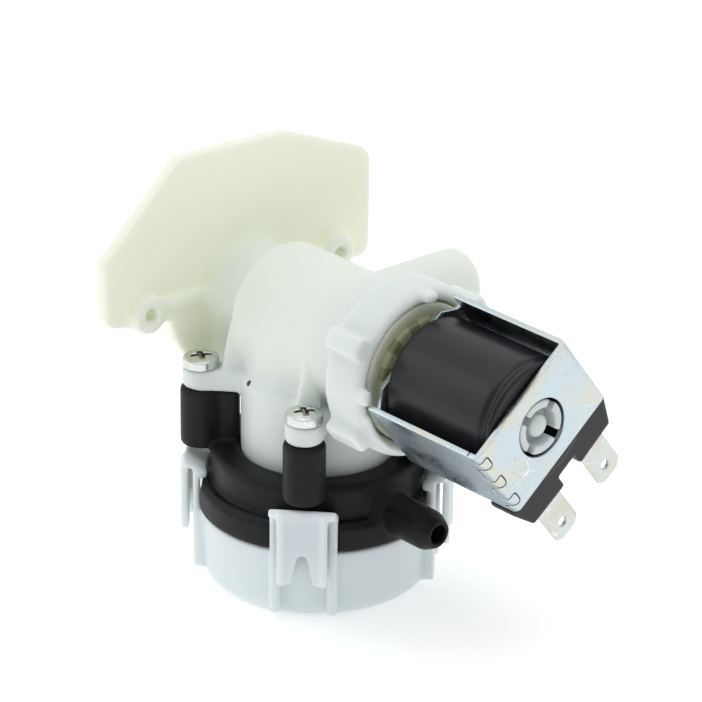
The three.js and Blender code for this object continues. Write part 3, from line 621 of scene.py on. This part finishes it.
def bentStrip(s, w, depth):
    # place of a point of the flat strip, depth below its outer face
    size = yokeSize
    stops = yokeLengths()
    total = stops[-1]
    s = np.mod(s, total)
    r = size["bend"]
    cornersAt = [(size["front"] - r, -size["halfLong"] + r), (size["front"] - r, size["halfLong"] - r),
                 (size["back"] + r, size["halfLong"] - r), (size["back"] + r, -size["halfLong"] + r)]
    x, u = np.zeros_like(s), np.zeros_like(s)
    for n in range(4):
        start, end = stops[2 * n] if n else stops[-2] - total, stops[2 * n + 1]
        cx, cu = cornersAt[n]
        first = math.pi / 2 * (n - 1)
        for shift in (0, total):
            here = (s >= start + shift) & (s <= end + shift)
            a = first + (s - start - shift) / r
            x = np.where(here, cx + (r - depth) * np.cos(a), x)
            u = np.where(here, cu + (r - depth) * np.sin(a), u)
        nx, nu = cornersAt[(n + 1) % 4]
        here = (s > stops[2 * n + 1]) & (s < stops[2 * n + 2])
        t = (s - stops[2 * n + 1]) / (stops[2 * n + 2] - stops[2 * n + 1])
        out = math.pi / 2 * n
        x = np.where(here, cx + (nx - cx) * t + (r - depth) * math.cos(out), x)
        u = np.where(here, cu + (nu - cu) * t + (r - depth) * math.sin(out), u)
    c, k = math.cos(solenoidTurn), math.sin(solenoidTurn)
    return np.stack([x, u * c - w * k, valveZ + u * k + w * c], -1)


def seamLine():
    # three dovetailed tongues reach over the bend from the side into the end plate
    s = yokeSize
    pitch = 2 * s["halfWide"] / 3
    half = [
        (-2.1, -2.83), (-2.1, -2.0), (-1.8, -1.5), (-1.0, -1.0), (-0.2, -0.85), (0.5, -1.1), (1.2, -1.3),
        (1.65, -1.15), (1.8, -0.7),
    ]
    period = np.array(half + [(a, -b) for a, b in half[:0:-1]])
    line = np.concatenate([period + (0, -s["halfWide"] + pitch * (n + 0.5)) for n in range(3)])
    line = np.concatenate([[(-2.1, -s["halfWide"] - 1)], line, [(-2.1, s["halfWide"] + 1)]])
    t = np.linspace(0, len(line) - 1, 5 * len(line))
    line = np.stack([np.interp(t, np.arange(len(line)), line[:, i]) for i in (0, 1)], 1)
    for _ in range(3):
        line[1:-1] = 0.25 * line[:-2] + 0.5 * line[1:-1] + 0.25 * line[2:]
    return line


def besideLine(line, distance):
    # the line moved sideways by a distance, and ended at the strip's edges
    along = np.gradient(line, axis=0)
    along /= np.linalg.norm(along, axis=1)[:, None]
    moved = line + distance * np.stack([along[:, 1], -along[:, 0]], 1)
    limit = yokeSize["halfWide"] - yokeSize["edge"]
    moved = moved[np.abs(moved[:, 1]) < limit - 0.05]
    return np.concatenate([[(moved[0, 0], -limit)], moved, [(moved[-1, 0], limit)]])


def flatStrip():
    # outline of the strip, its holes, and cross lines where it bends
    s = yokeSize
    stops = yokeLengths()
    total = stops[-1]
    wide = s["halfWide"]
    seam = seamLine()
    rim = s["edge"]
    left = besideLine(seam, s["seam"] / 2 + rim)
    right = besideLine(seam, -s["seam"] / 2 - rim)[::-1] + (total, 0)
    clip = s["clip"]
    b0, b1, b2, b3 = stops[4], stops[5], stops[6], stops[7]
    top = [(b0, wide), (b0, wide - clip), (b1 + 0.3, wide - clip), (b1 + 0.3 + clip, wide),
           (b2 - 0.3 - clip, wide), (b2 - 0.3, wide - clip), (b3, wide - clip), (b3, wide)]
    upper = np.array(top) - (0, rim)
    lower = np.array(top) * (1, -1) + (0, rim)
    outline = np.concatenate([left, upper, right, lower[::-1]])
    turn = np.linspace(0, 2 * math.pi, 97)[:-1]
    holes = []
    for n, radius in ((1, s["frontHole"]), (5, s["backHole"])):
        centre = (stops[n] + stops[n + 1]) / 2
        r = radius + rim
        holes.append(np.stack([centre + r * np.cos(turn), r * np.sin(turn)], 1))
    bends = [np.linspace(stops[n], stops[n + 1], 9) for n in (2, 4, 6)]
    bends += [np.linspace(-stops[1], stops[1], 9), total + np.linspace(-stops[1], stops[1], 9)]
    lines = [np.array([(at, -wide - 1), (at, wide + 1)]) for at in np.concatenate(bends)]
    return outline, holes, lines


def insideOutline(points, outline):
    # a point is inside when a line from it crosses the outline an odd number of times
    x, y = points[:, 0], points[:, 1]
    odd = np.zeros(len(points), bool)
    for (x0, y0), (x1, y1) in zip(outline, np.roll(outline, -1, 0)):
        spans = (y0 > y) != (y1 > y)
        odd ^= spans & (x < (x1 - x0) * (y - y0) / (y1 - y0 if y1 != y0 else 1) + x0)
    return odd


def sheetMesh(outline, holes, lines, thickness, rim, bent):
    # The flat outline is cut into triangles and laid at both faces, and a wall with a rounded edge
    # joins them: its rows sink by rim * (1 - cos a) and stand out by rim * sin a.
    loops = [outline] + holes
    flat = np.concatenate(loops + lines)
    edges, start = [], 0
    for loop in loops:
        n = len(loop)
        edges += [(start + i, start + (i + 1) % n) for i in range(n)]
        start += n
    for line in lines:
        edges.append((start, start + 1))
        start += 2
    points, _, triangles = delaunay_2d_cdt([Vector(p) for p in flat], edges, [], 0, 1e-5)[:3]
    points = np.array([tuple(p) for p in points])
    triangles = np.array(triangles)
    middle = points[triangles].mean(1)
    keep = insideOutline(middle, outline)
    for hole in holes:
        keep &= ~insideOutline(middle, hole)
    triangles = triangles[keep]
    used = np.unique(triangles)
    number = np.full(len(points), -1)
    number[used] = np.arange(len(used))
    points, triangles = points[used], number[triangles]
    a, b = triangles, np.roll(triangles, -1, 1)
    sides = np.stack([a.ravel(), b.ravel()], 1)
    key = sides[:, 0] * len(points) + sides[:, 1]
    back = sides[:, 1] * len(points) + sides[:, 0]
    border = sides[~np.isin(key, back)]
    along = points[border[:, 1]] - points[border[:, 0]]
    normal = np.stack([along[:, 1], -along[:, 0]], 1)
    normal /= np.linalg.norm(normal, axis=1)[:, None]
    push = np.zeros_like(points)
    np.add.at(push, border[:, 0], normal)
    np.add.at(push, border[:, 1], normal)
    length = np.linalg.norm(push, axis=1)
    push /= np.maximum(length, 1e-9)[:, None]
    edge = np.unique(border)
    ringOf = np.full(len(points), -1)
    ringOf[edge] = np.arange(len(edge))
    angles = np.linspace(0, math.pi / 2, 4)
    rows = [(rim * (1 - math.cos(a)), rim * math.sin(a)) for a in angles[1:]]
    rows += [(thickness - d, o) for d, o in rows[::-1]]
    layers = [bent(points, 0.0), bent(points, thickness)]
    for depth, out in rows:
        layers.append(bent(points[edge] + push[edge] * out, depth))
    n, m = len(points), len(edge)
    starts = [None] + [2 * n + i * m for i in range(len(rows))] + [None]
    quads = []
    for i in range(len(rows) + 1):
        first = border if starts[i] is None else starts[i] + ringOf[border]
        second = border + n if starts[i + 1] is None else starts[i + 1] + ringOf[border]
        quads.append(np.stack([first[:, 1], first[:, 0], second[:, 0], second[:, 1]], 1))
    faces = triangles.tolist() + (triangles[:, ::-1] + n).tolist() + np.concatenate(quads).tolist()
    return np.concatenate(layers), faces


outline, holes, lines = flatStrip()
points, faces = sheetMesh(outline, holes, lines, yokeSize["thickness"], yokeSize["edge"],
                          lambda p, depth: bentStrip(p[:, 0], p[:, 1], depth))
yokeBracket = meshFrom("yokeBracket", points, faces, sharpest=40)
place(yokeBracket, "root", "zinc_steel", "yoke_bracket")
print("yoke", len(faces), "faces")


# Terminal tabs and the inlet ring.

tabSize = dict(
    half=3.15, thickness=0.8, root=-12.2, end=-26.3, chamfer=1.25, taper=1.7, hole=0.9, holeAt=-23.0,
)


def tabField(side):
    # a flat blade with cut corners, thinner towards its end, with a round latch hole
    s = tabSize

    def field(x, y, z):
        u, w = solenoidAxes(y, z)
        u = u - side * coilSize["tabOffset"]
        half, root, end = s["half"], s["root"], s["end"]
        flat = polygon(u, w, [
            (-half, root), (-half, end + 1.4), (-half + s["chamfer"], end), (half - s["chamfer"], end),
            (half, end + 1.4), (half, root),
        ])
        thinner = np.clip((end + s["taper"] - w) / s["taper"], 0, 1) * 0.2
        blade = outside(flat, np.abs(x - coilSize["tabX"]) - s["thickness"] / 2 + thinner)
        return cut(blade, rod(u, w - s["holeAt"], x, s["hole"], 53, 56, 0.05))

    return field


tabs = []
for name, cadName, side, low, high in (
        ("terminalTabLower", "terminal_tab_lower", -1, (54, -2, 22), (55, 14, 42)),
        ("terminalTabUpper", "terminal_tab_upper", 1, (54, 8, 30), (55, 24, 50))):
    tab = moulded(name, tabField(side), low, high, 0.2, 1)
    tabs.append(place(tab, "root", "tinned_brass", cadName))


def ringAlongX(name, radius, section, x, z, around=120, across=24):
    # a torus: a circle of the section's size carried round the tube
    a = np.linspace(0, 2 * math.pi, around, endpoint=False)[:, None]
    b = np.linspace(0, 2 * math.pi, across, endpoint=False)[None, :]
    r = radius + section * np.cos(b)
    parts = np.broadcast_arrays(x + section * np.sin(b), r * np.cos(a), z + r * np.sin(a))
    points = np.stack(parts, -1)
    number = np.arange(around * across).reshape(around, across)
    right, up = np.roll(number, -1, 0), np.roll(number, -1, 1)
    faces = np.stack([number, right, np.roll(right, -1, 1), up], -1).reshape(-1, 4)
    return meshFrom(name, points.reshape(-1, 3), faces.tolist())


inletRing = ringAlongX("inletRing", radius=8.75, section=0.95, x=-29.8, z=tubeZ)
place(inletRing, "root", "rubber", "inlet_o_ring")
print("pieces made")


# Shader groups, built once and placed in each material with its own values.

def newGroup(name, inputs, output):
    tree = bpy.data.node_groups.new(name, "ShaderNodeTree")
    for label, value in inputs.items():
        tree.interface.new_socket(label, in_out="INPUT", socket_type="NodeSocketFloat").default_value = value
    tree.interface.new_socket(output, in_out="OUTPUT", socket_type="NodeSocketFloat")
    return tree, tree.nodes.new("NodeGroupInput").outputs, tree.nodes.new("NodeGroupOutput").inputs


def node(tree, kind, settings=None, **inputs):
    # i0, i1 and so on name an input by its number, other words by its label
    made = tree.nodes.new("ShaderNode" + kind)
    for key, value in (settings or {}).items():
        setattr(made, key, value)
    for key, value in inputs.items():
        numbered = key[0] == "i" and key[1:].isdigit()
        socket = made.inputs[int(key[1:])] if numbered else made.inputs[key.replace("_", " ")]
        if isinstance(value, bpy.types.NodeSocket):
            tree.links.new(value, socket)
        else:
            socket.default_value = value
    return made


def objectPlace(tree):
    return node(tree, "TexCoord").outputs["Object"]


def apart(tree, vector):
    # the three parts of a vector
    return node(tree, "SeparateXYZ", Vector=vector).outputs


def noise(tree, scale, detail):
    return node(tree, "TexNoise", Vector=objectPlace(tree), Scale=scale, Detail=detail).outputs["Fac"]


def band(tree, value, low, high, bottom=0.0, top=1.0):
    made = node(tree, "MapRange", {"interpolation_type": "SMOOTHSTEP"}, Value=value)
    for key, number in (("From Min", low), ("From Max", high), ("To Min", bottom), ("To Max", top)):
        made.inputs[key].default_value = number
    return made.outputs["Result"]


def mathOf(tree, operation, a, b=0.0, clamp=False):
    return node(tree, "Math", {"operation": operation, "use_clamp": clamp}, i0=a, i1=b).outputs[0]


def times(tree, a, b):
    return mathOf(tree, "MULTIPLY", a, b)


def plus(tree, a, b, clamp=False):
    return mathOf(tree, "ADD", a, b, clamp)


def minus(tree, a, b):
    return mathOf(tree, "SUBTRACT", a, b)


def farFrom(tree, value, middle):
    return mathOf(tree, "ABSOLUTE", minus(tree, value, middle))


def lengthOf(tree, a, b):
    return mathOf(tree, "SQRT", plus(tree, times(tree, a, a), times(tree, b, b)))


def mixColour(tree, factor, a, b):
    made = node(tree, "Mix", {"data_type": "RGBA"})
    for index, value in ((0, factor), (6, a), (7, b)):
        if isinstance(value, bpy.types.NodeSocket):
            tree.links.new(value, made.inputs[index])
        else:
            made.inputs[index].default_value = value if index == 0 else (*value, 1)
    return made.outputs[2]


def makeSpecks():
    # sparse dust: the cores of a cell pattern, kept where a coarse noise is high
    tree, given, result = newGroup("specks", {"Scale": 900.0, "Size": 0.18, "Share": 0.5}, "Mask")
    cells = node(tree, "TexVoronoi", Vector=objectPlace(tree), Scale=given["Scale"])
    core = mathOf(tree, "LESS_THAN", cells.outputs["Distance"], given["Size"])
    patches = mathOf(tree, "GREATER_THAN", noise(tree, 160.0, 3.0), given["Share"])
    tree.links.new(times(tree, core, patches), result["Mask"])
    return tree


def makeMottle():
    # two sizes of soft cloud mixed into one value round 0.5
    tree, given, result = newGroup("mottle", {"Scale": 90.0, "Fine": 700.0, "Contrast": 1.0}, "Value")
    broad = noise(tree, given["Scale"], 3.0)
    fine = noise(tree, given["Fine"], 2.0)
    both = plus(tree, times(tree, broad, 0.65), times(tree, fine, 0.35))
    centred = times(tree, minus(tree, both, 0.5), given["Contrast"])
    tree.links.new(plus(tree, centred, 0.5, True), result["Value"])
    return tree


def makeGrain():
    # the fine texture of a moulding tool, as a height
    tree, given, result = newGroup("grain", {"Scale": 1800.0, "Wave": 120.0}, "Height")
    fine = noise(tree, given["Scale"], 3.0)
    wave = noise(tree, given["Wave"], 1.0)
    tree.links.new(plus(tree, times(tree, fine, 0.5), wave), result["Height"])
    return tree


def makeScratches():
    # long thin marks: a noise stretched along X, kept where it is near its middle
    tree, given, result = newGroup("scratches", {"Scale": 300.0, "Width": 0.01}, "Mask")
    stretch, turned = (0.12, 1.0, 1.3), (0.6, 0.2, 0.35)
    squeezed = node(tree, "Mapping", Vector=objectPlace(tree), Scale=stretch, Rotation=turned)
    lines = node(tree, "TexNoise", Vector=squeezed.outputs[0], Scale=given["Scale"], Detail=0.5)
    near = farFrom(tree, lines.outputs["Fac"], 0.5)
    mask = mathOf(tree, "LESS_THAN", near, given["Width"])
    patches = mathOf(tree, "GREATER_THAN", noise(tree, 120.0, 1.0), 0.55)
    tree.links.new(times(tree, mask, patches), result["Mask"])
    return tree


specks, mottle, grain, scratches = makeSpecks(), makeMottle(), makeGrain(), makeScratches()


def group(tree, source, **inputs):
    made = tree.nodes.new("ShaderNodeGroup")
    made.node_tree = source
    for key, value in inputs.items():
        made.inputs[key].default_value = value
    return made.outputs[0]


def newMaterial(name, **values):
    material = bpy.data.materials.new(name)
    material.use_nodes = True
    tree = material.node_tree
    shader = tree.nodes["Principled BSDF"]
    for key, value in values.items():
        shader.inputs[key.replace("_", " ")].default_value = value
    return material, tree, shader


def dressed(tree, shader, colour, cloud, rough, height, strength, distance=0.0002):
    # what every finish shares: its colour, a roughness between two values, and a fine bump
    tree.links.new(colour, shader.inputs["Base Color"])
    tree.links.new(band(tree, cloud, 0.2, 0.8, *rough), shader.inputs["Roughness"])
    bump = node(tree, "Bump", Strength=strength, Distance=distance, Height=height)
    tree.links.new(bump.outputs["Normal"], shader.inputs["Normal"])


def milkyPlastic(name, cool, warm, warmFrom, warmTo, upperWarmth=0.0, spot=None):
    # natural nylon: light sinks in, and it yellows towards the mounting plate
    material, tree, shader = newMaterial(name, Subsurface_Weight=0.55, Subsurface_Scale=0.004, IOR=1.5)
    shader.inputs["Subsurface Radius"].default_value = (1.0, 0.95, 0.8)
    x, _, z = apart(tree, objectPlace(tree))
    warmth = band(tree, x, warmFrom, warmTo)
    upper = times(tree, band(tree, x, 0.019, 0.006), band(tree, z, 0.041, 0.047))
    warmth = mathOf(tree, "MAXIMUM", warmth, times(tree, upper, upperWarmth))
    cloud = group(tree, mottle, Scale=45.0, Fine=260.0, Contrast=1.2)
    warmth = plus(tree, warmth, times(tree, minus(tree, cloud, 0.5), 0.3), True)
    colour = mixColour(tree, warmth, cool, warm)
    if spot:
        centre, radius = spot
        offset = node(tree, "VectorMath", {"operation": "DISTANCE"}, i0=objectPlace(tree), i1=centre)
        mark = mathOf(tree, "LESS_THAN", offset.outputs["Value"], radius)
        colour = mixColour(tree, mark, colour, (0.03, 0.025, 0.02))
    dust = group(tree, specks, Scale=420.0, Size=0.07, Share=0.62)
    colour = mixColour(tree, times(tree, dust, 0.35), colour, (0.45, 0.45, 0.38))
    height = group(tree, grain, Scale=1500.0, Wave=140.0)
    dressed(tree, shader, colour, cloud, (0.38, 0.52), height, 0.12)
    return material


def blackPlastic(name, base, pale, rough, shine, dust, grainScale, bump, lines=(), ringAt=0.0):
    # filled nylon: near black, with pale specks and faint flow marks
    material, tree, shader = newMaterial(name, IOR=1.5, Specular_IOR_Level=shine)
    cloud = group(tree, mottle, Scale=110.0, Fine=900.0, Contrast=1.6)
    colour = mixColour(tree, band(tree, cloud, 0.25, 0.8), base, pale)
    dusty = group(tree, specks, Scale=dust[0], Size=0.13, Share=dust[1])
    colour = mixColour(tree, times(tree, dusty, 0.35), colour, (0.1, 0.105, 0.11))
    height = group(tree, grain, Scale=grainScale, Wave=190.0)
    x, y, z = apart(tree, objectPlace(tree))
    if ringAt:
        mark = band(tree, farFrom(tree, x, ringAt), 0.00012, 0.00006)
        height = plus(tree, height, times(tree, mark, -3.0))
        colour = mixColour(tree, times(tree, mark, 0.9), colour, (0.001, 0.001, 0.001))
    if lines:
        angle = mathOf(tree, "ARCTAN2", y, x)
        for at, low, high in lines:
            close = mathOf(tree, "LESS_THAN", farFrom(tree, angle, math.radians(at)), 0.006)
            above = mathOf(tree, "GREATER_THAN", z, low)
            below = mathOf(tree, "LESS_THAN", z, high)
            mark = times(tree, close, times(tree, above, below))
            height = plus(tree, height, times(tree, mark, -2.0))
            colour = mixColour(tree, times(tree, mark, 0.7), colour, (0.004, 0.004, 0.004))
    dressed(tree, shader, colour, cloud, (rough - 0.06, rough + 0.08), height, bump)
    return material


def platedSteel(name, cool, warm, rough, warmShare, speckle, bump=0.12, paintedUnderShade=None, paintedRecessShade=False):
    # zinc plate: blue-white metal with yellowish clouds, dark pinholes and fine scratches
    material, tree, shader = newMaterial(name, Metallic=1.0)
    cloud = group(tree, mottle, Scale=150.0, Fine=1400.0, Contrast=2.2)
    colour = mixColour(tree, band(tree, cloud, warmShare - 0.15, warmShare + 0.3), cool, warm)
    pits = group(tree, specks, Scale=1600.0, Size=0.2, Share=0.5)
    colour = mixColour(tree, times(tree, pits, speckle), colour, (0.28, 0.27, 0.22))
    marks = group(tree, scratches, Scale=260.0, Width=0.008)
    colour = mixColour(tree, times(tree, marks, 0.5), colour, (0.95, 0.97, 1.0))
    # painted shade: faces turned downwards take a darker colour, standing in for the dark surroundings they
    # reflect
    if paintedUnderShade:
        facing = apart(tree, node(tree, "NewGeometry").outputs["Normal"])["Z"]
        colour = mixColour(tree, times(tree, band(tree, facing, -0.35, -0.6), 0.75), colour, paintedUnderShade)
    if paintedRecessShade:
        # painted shade in the drive: dark near a screw's middle, below the head's face
        turned = node(tree, "VectorRotate", {"rotation_type": "Z_AXIS"}, i0=objectPlace(tree))
        turned.inputs["Angle"].default_value = math.radians(-earAngles[0])
        x, y, z = apart(tree, turned.outputs[0])
        a, b = mathOf(tree, "ABSOLUTE", x), mathOf(tree, "ABSOLUTE", y)
        far = minus(tree, mathOf(tree, "MAXIMUM", a, b), bodySize["earCircle"] * mm)
        fromMiddle = lengthOf(tree, far, mathOf(tree, "MINIMUM", a, b))
        dark = times(tree, band(tree, fromMiddle, 0.0021, 0.0019), band(tree, z, 0.0421, 0.0417))
        colour = mixColour(tree, dark, colour, (0.2, 0.19, 0.16))
    height = group(tree, grain, Scale=2600.0, Wave=260.0)
    dressed(tree, shader, colour, cloud, (rough - 0.07, rough + 0.1), height, bump, 0.00015)
    return material


def plainFinish(name, base, pale, rough, metal=0.0, grainScale=1500.0, bump=0.1):
    # two shades in soft clouds over a fine grain
    material, tree, shader = newMaterial(name, Metallic=metal)
    cloud = group(tree, mottle, Scale=130.0, Fine=1100.0, Contrast=1.8)
    colour = mixColour(tree, cloud, base, pale)
    height = group(tree, grain, Scale=grainScale, Wave=200.0)
    dressed(tree, shader, colour, cloud, (rough - 0.06, rough + 0.08), height, bump)
    return material


def oliveBonnet():
    # the moulded-in flange is pale, with painted shade towards the middle; the ring nearer the coil is
    # olive, its tint darkened as painted shade, with darker windows of painted shade round it
    material, tree, shader = newMaterial("bonnetPlastic", Subsurface_Weight=0.4, Subsurface_Scale=0.002)
    shader.inputs["Subsurface Radius"].default_value = (1.0, 1.0, 0.5)
    _, across, z = apart(tree, objectPlace(tree))
    up = minus(tree, z, valveZ * mm)
    radius = lengthOf(tree, across, up)
    # painted shade: darker windows round the olive ring stand in for the flange's notches
    turns = times(tree, mathOf(tree, "ARCTAN2", up, across), 6 / math.pi)
    notchShade = mathOf(tree, "GREATER_THAN", mathOf(tree, "PINGPONG", turns, 0.5), 0.27)
    cloud = group(tree, mottle, Scale=160.0, Fine=600.0, Contrast=1.6)
    # the olive is the bonnet's own tint, darkened as painted shade of the recess it sits in
    oliveTintAndShade = mixColour(tree, cloud, (0.34, 0.35, 0.20), (0.50, 0.52, 0.33))
    oliveTintAndShade = mixColour(tree, times(tree, notchShade, 0.6), oliveTintAndShade, (0.15, 0.145, 0.06))
    # painted shade: the pale flange darkens towards the middle to give it a cone's look
    shadedCream = mixColour(tree, band(tree, radius, 0.0108, 0.0135), (0.50, 0.51, 0.34), (0.84, 0.87, 0.76))
    colour = mixColour(tree, band(tree, radius, 0.01065, 0.0108), oliveTintAndShade, shadedCream)
    height = group(tree, grain, Scale=1200.0, Wave=150.0)
    dressed(tree, shader, colour, cloud, (0.3, 0.45), height, 0.08)
    return material


whiteBody = milkyPlastic(
    "whiteBody", cool=(0.71, 0.76, 0.735), warm=(0.86, 0.885, 0.75), warmFrom=-0.012, warmTo=-0.023,
    upperWarmth=0.45, spot=((-0.0041, -0.0134, 0.0402), 0.0006),
)
whiteCup = milkyPlastic("whiteCup", (0.72, 0.79, 0.80), (0.80, 0.85, 0.80), warmFrom=0.2, warmTo=0.3)
whiteCap = plainFinish("whiteCap", (0.56, 0.61, 0.61), (0.66, 0.70, 0.69), rough=0.42)
blackHousing = blackPlastic(
    "blackHousing", base=(0.005, 0.005, 0.006), pale=(0.011, 0.0115, 0.014), rough=0.47, shine=0.2,
    dust=(3200.0, 0.52), grainScale=1500.0, bump=0.35, lines=((-93, 0.0192, 0.0245), (-95, 0.0137, 0.0155)),
)
blackCoil = blackPlastic(
    "blackCoil", base=(0.009, 0.009, 0.011), pale=(0.014, 0.014, 0.018), rough=0.31, shine=0.36,
    dust=(2400.0, 0.6), grainScale=1100.0, bump=0.08, ringAt=0.0525,
)
# the strip's downward faces get painted shade
zincStrip = platedSteel(
    "zincStrip", cool=(0.54, 0.62, 0.66), warm=(0.66, 0.64, 0.54), rough=0.33, warmShare=0.5,
    speckle=0.5, paintedUnderShade=(0.27, 0.33, 0.38),
)
# the screws get painted shade in their drives
zincScrew = platedSteel(
    "zincScrew", cool=(0.66, 0.69, 0.67), warm=(0.64, 0.63, 0.55), rough=0.24, warmShare=0.6,
    speckle=0.2, bump=0.06, paintedRecessShade=True,
)
tinTab = platedSteel(
    "tinTab", cool=(0.62, 0.66, 0.65), warm=(0.66, 0.64, 0.54), rough=0.42, warmShare=0.5,
    speckle=0.2, bump=0.08,
)
olive = oliveBonnet()
rubber = plainFinish("rubber", (0.012, 0.012, 0.012), (0.03, 0.03, 0.03), 0.7, 0.0, 900.0, 0.25)
groundSteel = plainFinish("groundSteel", (0.42, 0.43, 0.45), (0.55, 0.56, 0.58), 0.28, 1.0, 2400.0)
springWire = plainFinish("springWire", (0.5, 0.5, 0.51), (0.62, 0.62, 0.63), 0.25, 1.0, 2400.0, 0.08)
copperWire = plainFinish("copperWire", (0.5, 0.2, 0.08), (0.72, 0.34, 0.16), 0.35, 1.0, 1800.0, 0.4)
darkPlastic = plainFinish("darkPlastic", (0.02, 0.02, 0.024), (0.05, 0.05, 0.055), rough=0.5)


def paint(piece, material):
    piece.data.materials.clear()
    piece.data.materials.append(material)


for piece, material in ((valveBody, whiteBody), (baseCup, whiteCup), (membraneHousing, blackHousing),
                        (coilOvermould, blackCoil), (bonnet, olive), (coreCap, whiteCap),
                        (yokeBracket, zincStrip), (inletRing, rubber)):
    paint(piece, material)
for piece in screws:
    paint(piece, zincScrew)
for piece in tabs:
    paint(piece, tinTab)

inner = {
    "spigot_o_ring": rubber, "lower_membrane": rubber, "main_diaphragm": rubber, "plunger_seal": rubber,
    "membrane_plate": darkPlastic, "coil_bobbin": darkPlastic, "coil_winding": copperWire,
    "yoke_sleeve": zincStrip, "plunger": groundSteel, "plunger_spring": springWire,
    "membrane_spring": springWire, "diaphragm_insert": whiteCap,
}
for name, material in inner.items():
    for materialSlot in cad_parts[name].material_slots:
        materialSlot.material = material
print("materials ready")


# Floor and light.

stage = dict(
    reach=3.0, floorGlow=0.3, room=(0.97, 0.985, 1.0, 1), low=0.74, high=1.03, dimmest=0.4,
    viewerSide=(0.68, 0.61),
)


def makeFloor():
    data = bpy.data.meshes.new("floor")
    far = stage["reach"]
    data.from_pydata([(-far, -far, 0), (far, -far, 0), (far, far, 0), (-far, far, 0)], [], [(0, 1, 2, 3)])
    floor = linked(bpy.data.objects.new("floor", data))
    material, tree, shader = newMaterial("floorWhite", Roughness=0.9, Specular_IOR_Level=0.2)
    cloud = group(tree, mottle, Scale=8.0, Fine=60.0, Contrast=0.6)
    colour = mixColour(tree, cloud, (0.955, 0.955, 0.955), (0.965, 0.965, 0.965))
    tree.links.new(colour, shader.inputs["Base Color"])
    shader.inputs["Emission Color"].default_value = (1, 1, 1, 1)
    shader.inputs["Emission Strength"].default_value = stage["floorGlow"]
    data.materials.append(material)
    floor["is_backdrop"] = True


def makeWorld():
    # brighter overhead, and darker on the side where the viewer stands
    world = bpy.data.worlds.new("studio")
    bpy.context.scene.world = world
    world.use_nodes = True
    tree = world.node_tree
    x, y, z = apart(tree, node(tree, "TexCoord").outputs["Generated"])
    height = band(tree, z, -0.1, 0.9, stage["low"], stage["high"])
    right, back = stage["viewerSide"]
    front = minus(tree, times(tree, x, right), times(tree, y, back))
    background = tree.nodes["Background"]
    background.inputs["Color"].default_value = stage["room"]
    strength = times(tree, height, band(tree, front, 0.2, 0.9, 1.0, stage["dimmest"]))
    tree.links.new(strength, background.inputs["Strength"])


def makeLamp(name, size, power, at, aim):
    data = bpy.data.lights.new(name, "AREA")
    data.shape = "RECTANGLE"
    data.size, data.size_y = size
    data.energy = power
    lamp = linked(bpy.data.objects.new(name, data))
    lamp.location = at
    lamp.rotation_euler = (Vector(at) - Vector(aim)).to_track_quat("Z", "Y").to_euler()


makeFloor()
makeWorld()
makeLamp("softTop", size=(0.6, 0.6), power=0.95, at=(0.05, -0.1, 0.8), aim=(0, 0, 0.04))
makeLamp("softLeft", size=(0.25, 0.6), power=0.35, at=(-0.5, -0.4, 0.35), aim=(0, 0, 0.04))
bpy.context.scene.view_settings.view_transform = "Standard"

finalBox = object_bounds()
for label, box in (("cad box", cadBox), ("visual box", finalBox)):
    print(label, [round(c / mm, 2) for v in box for c in v])
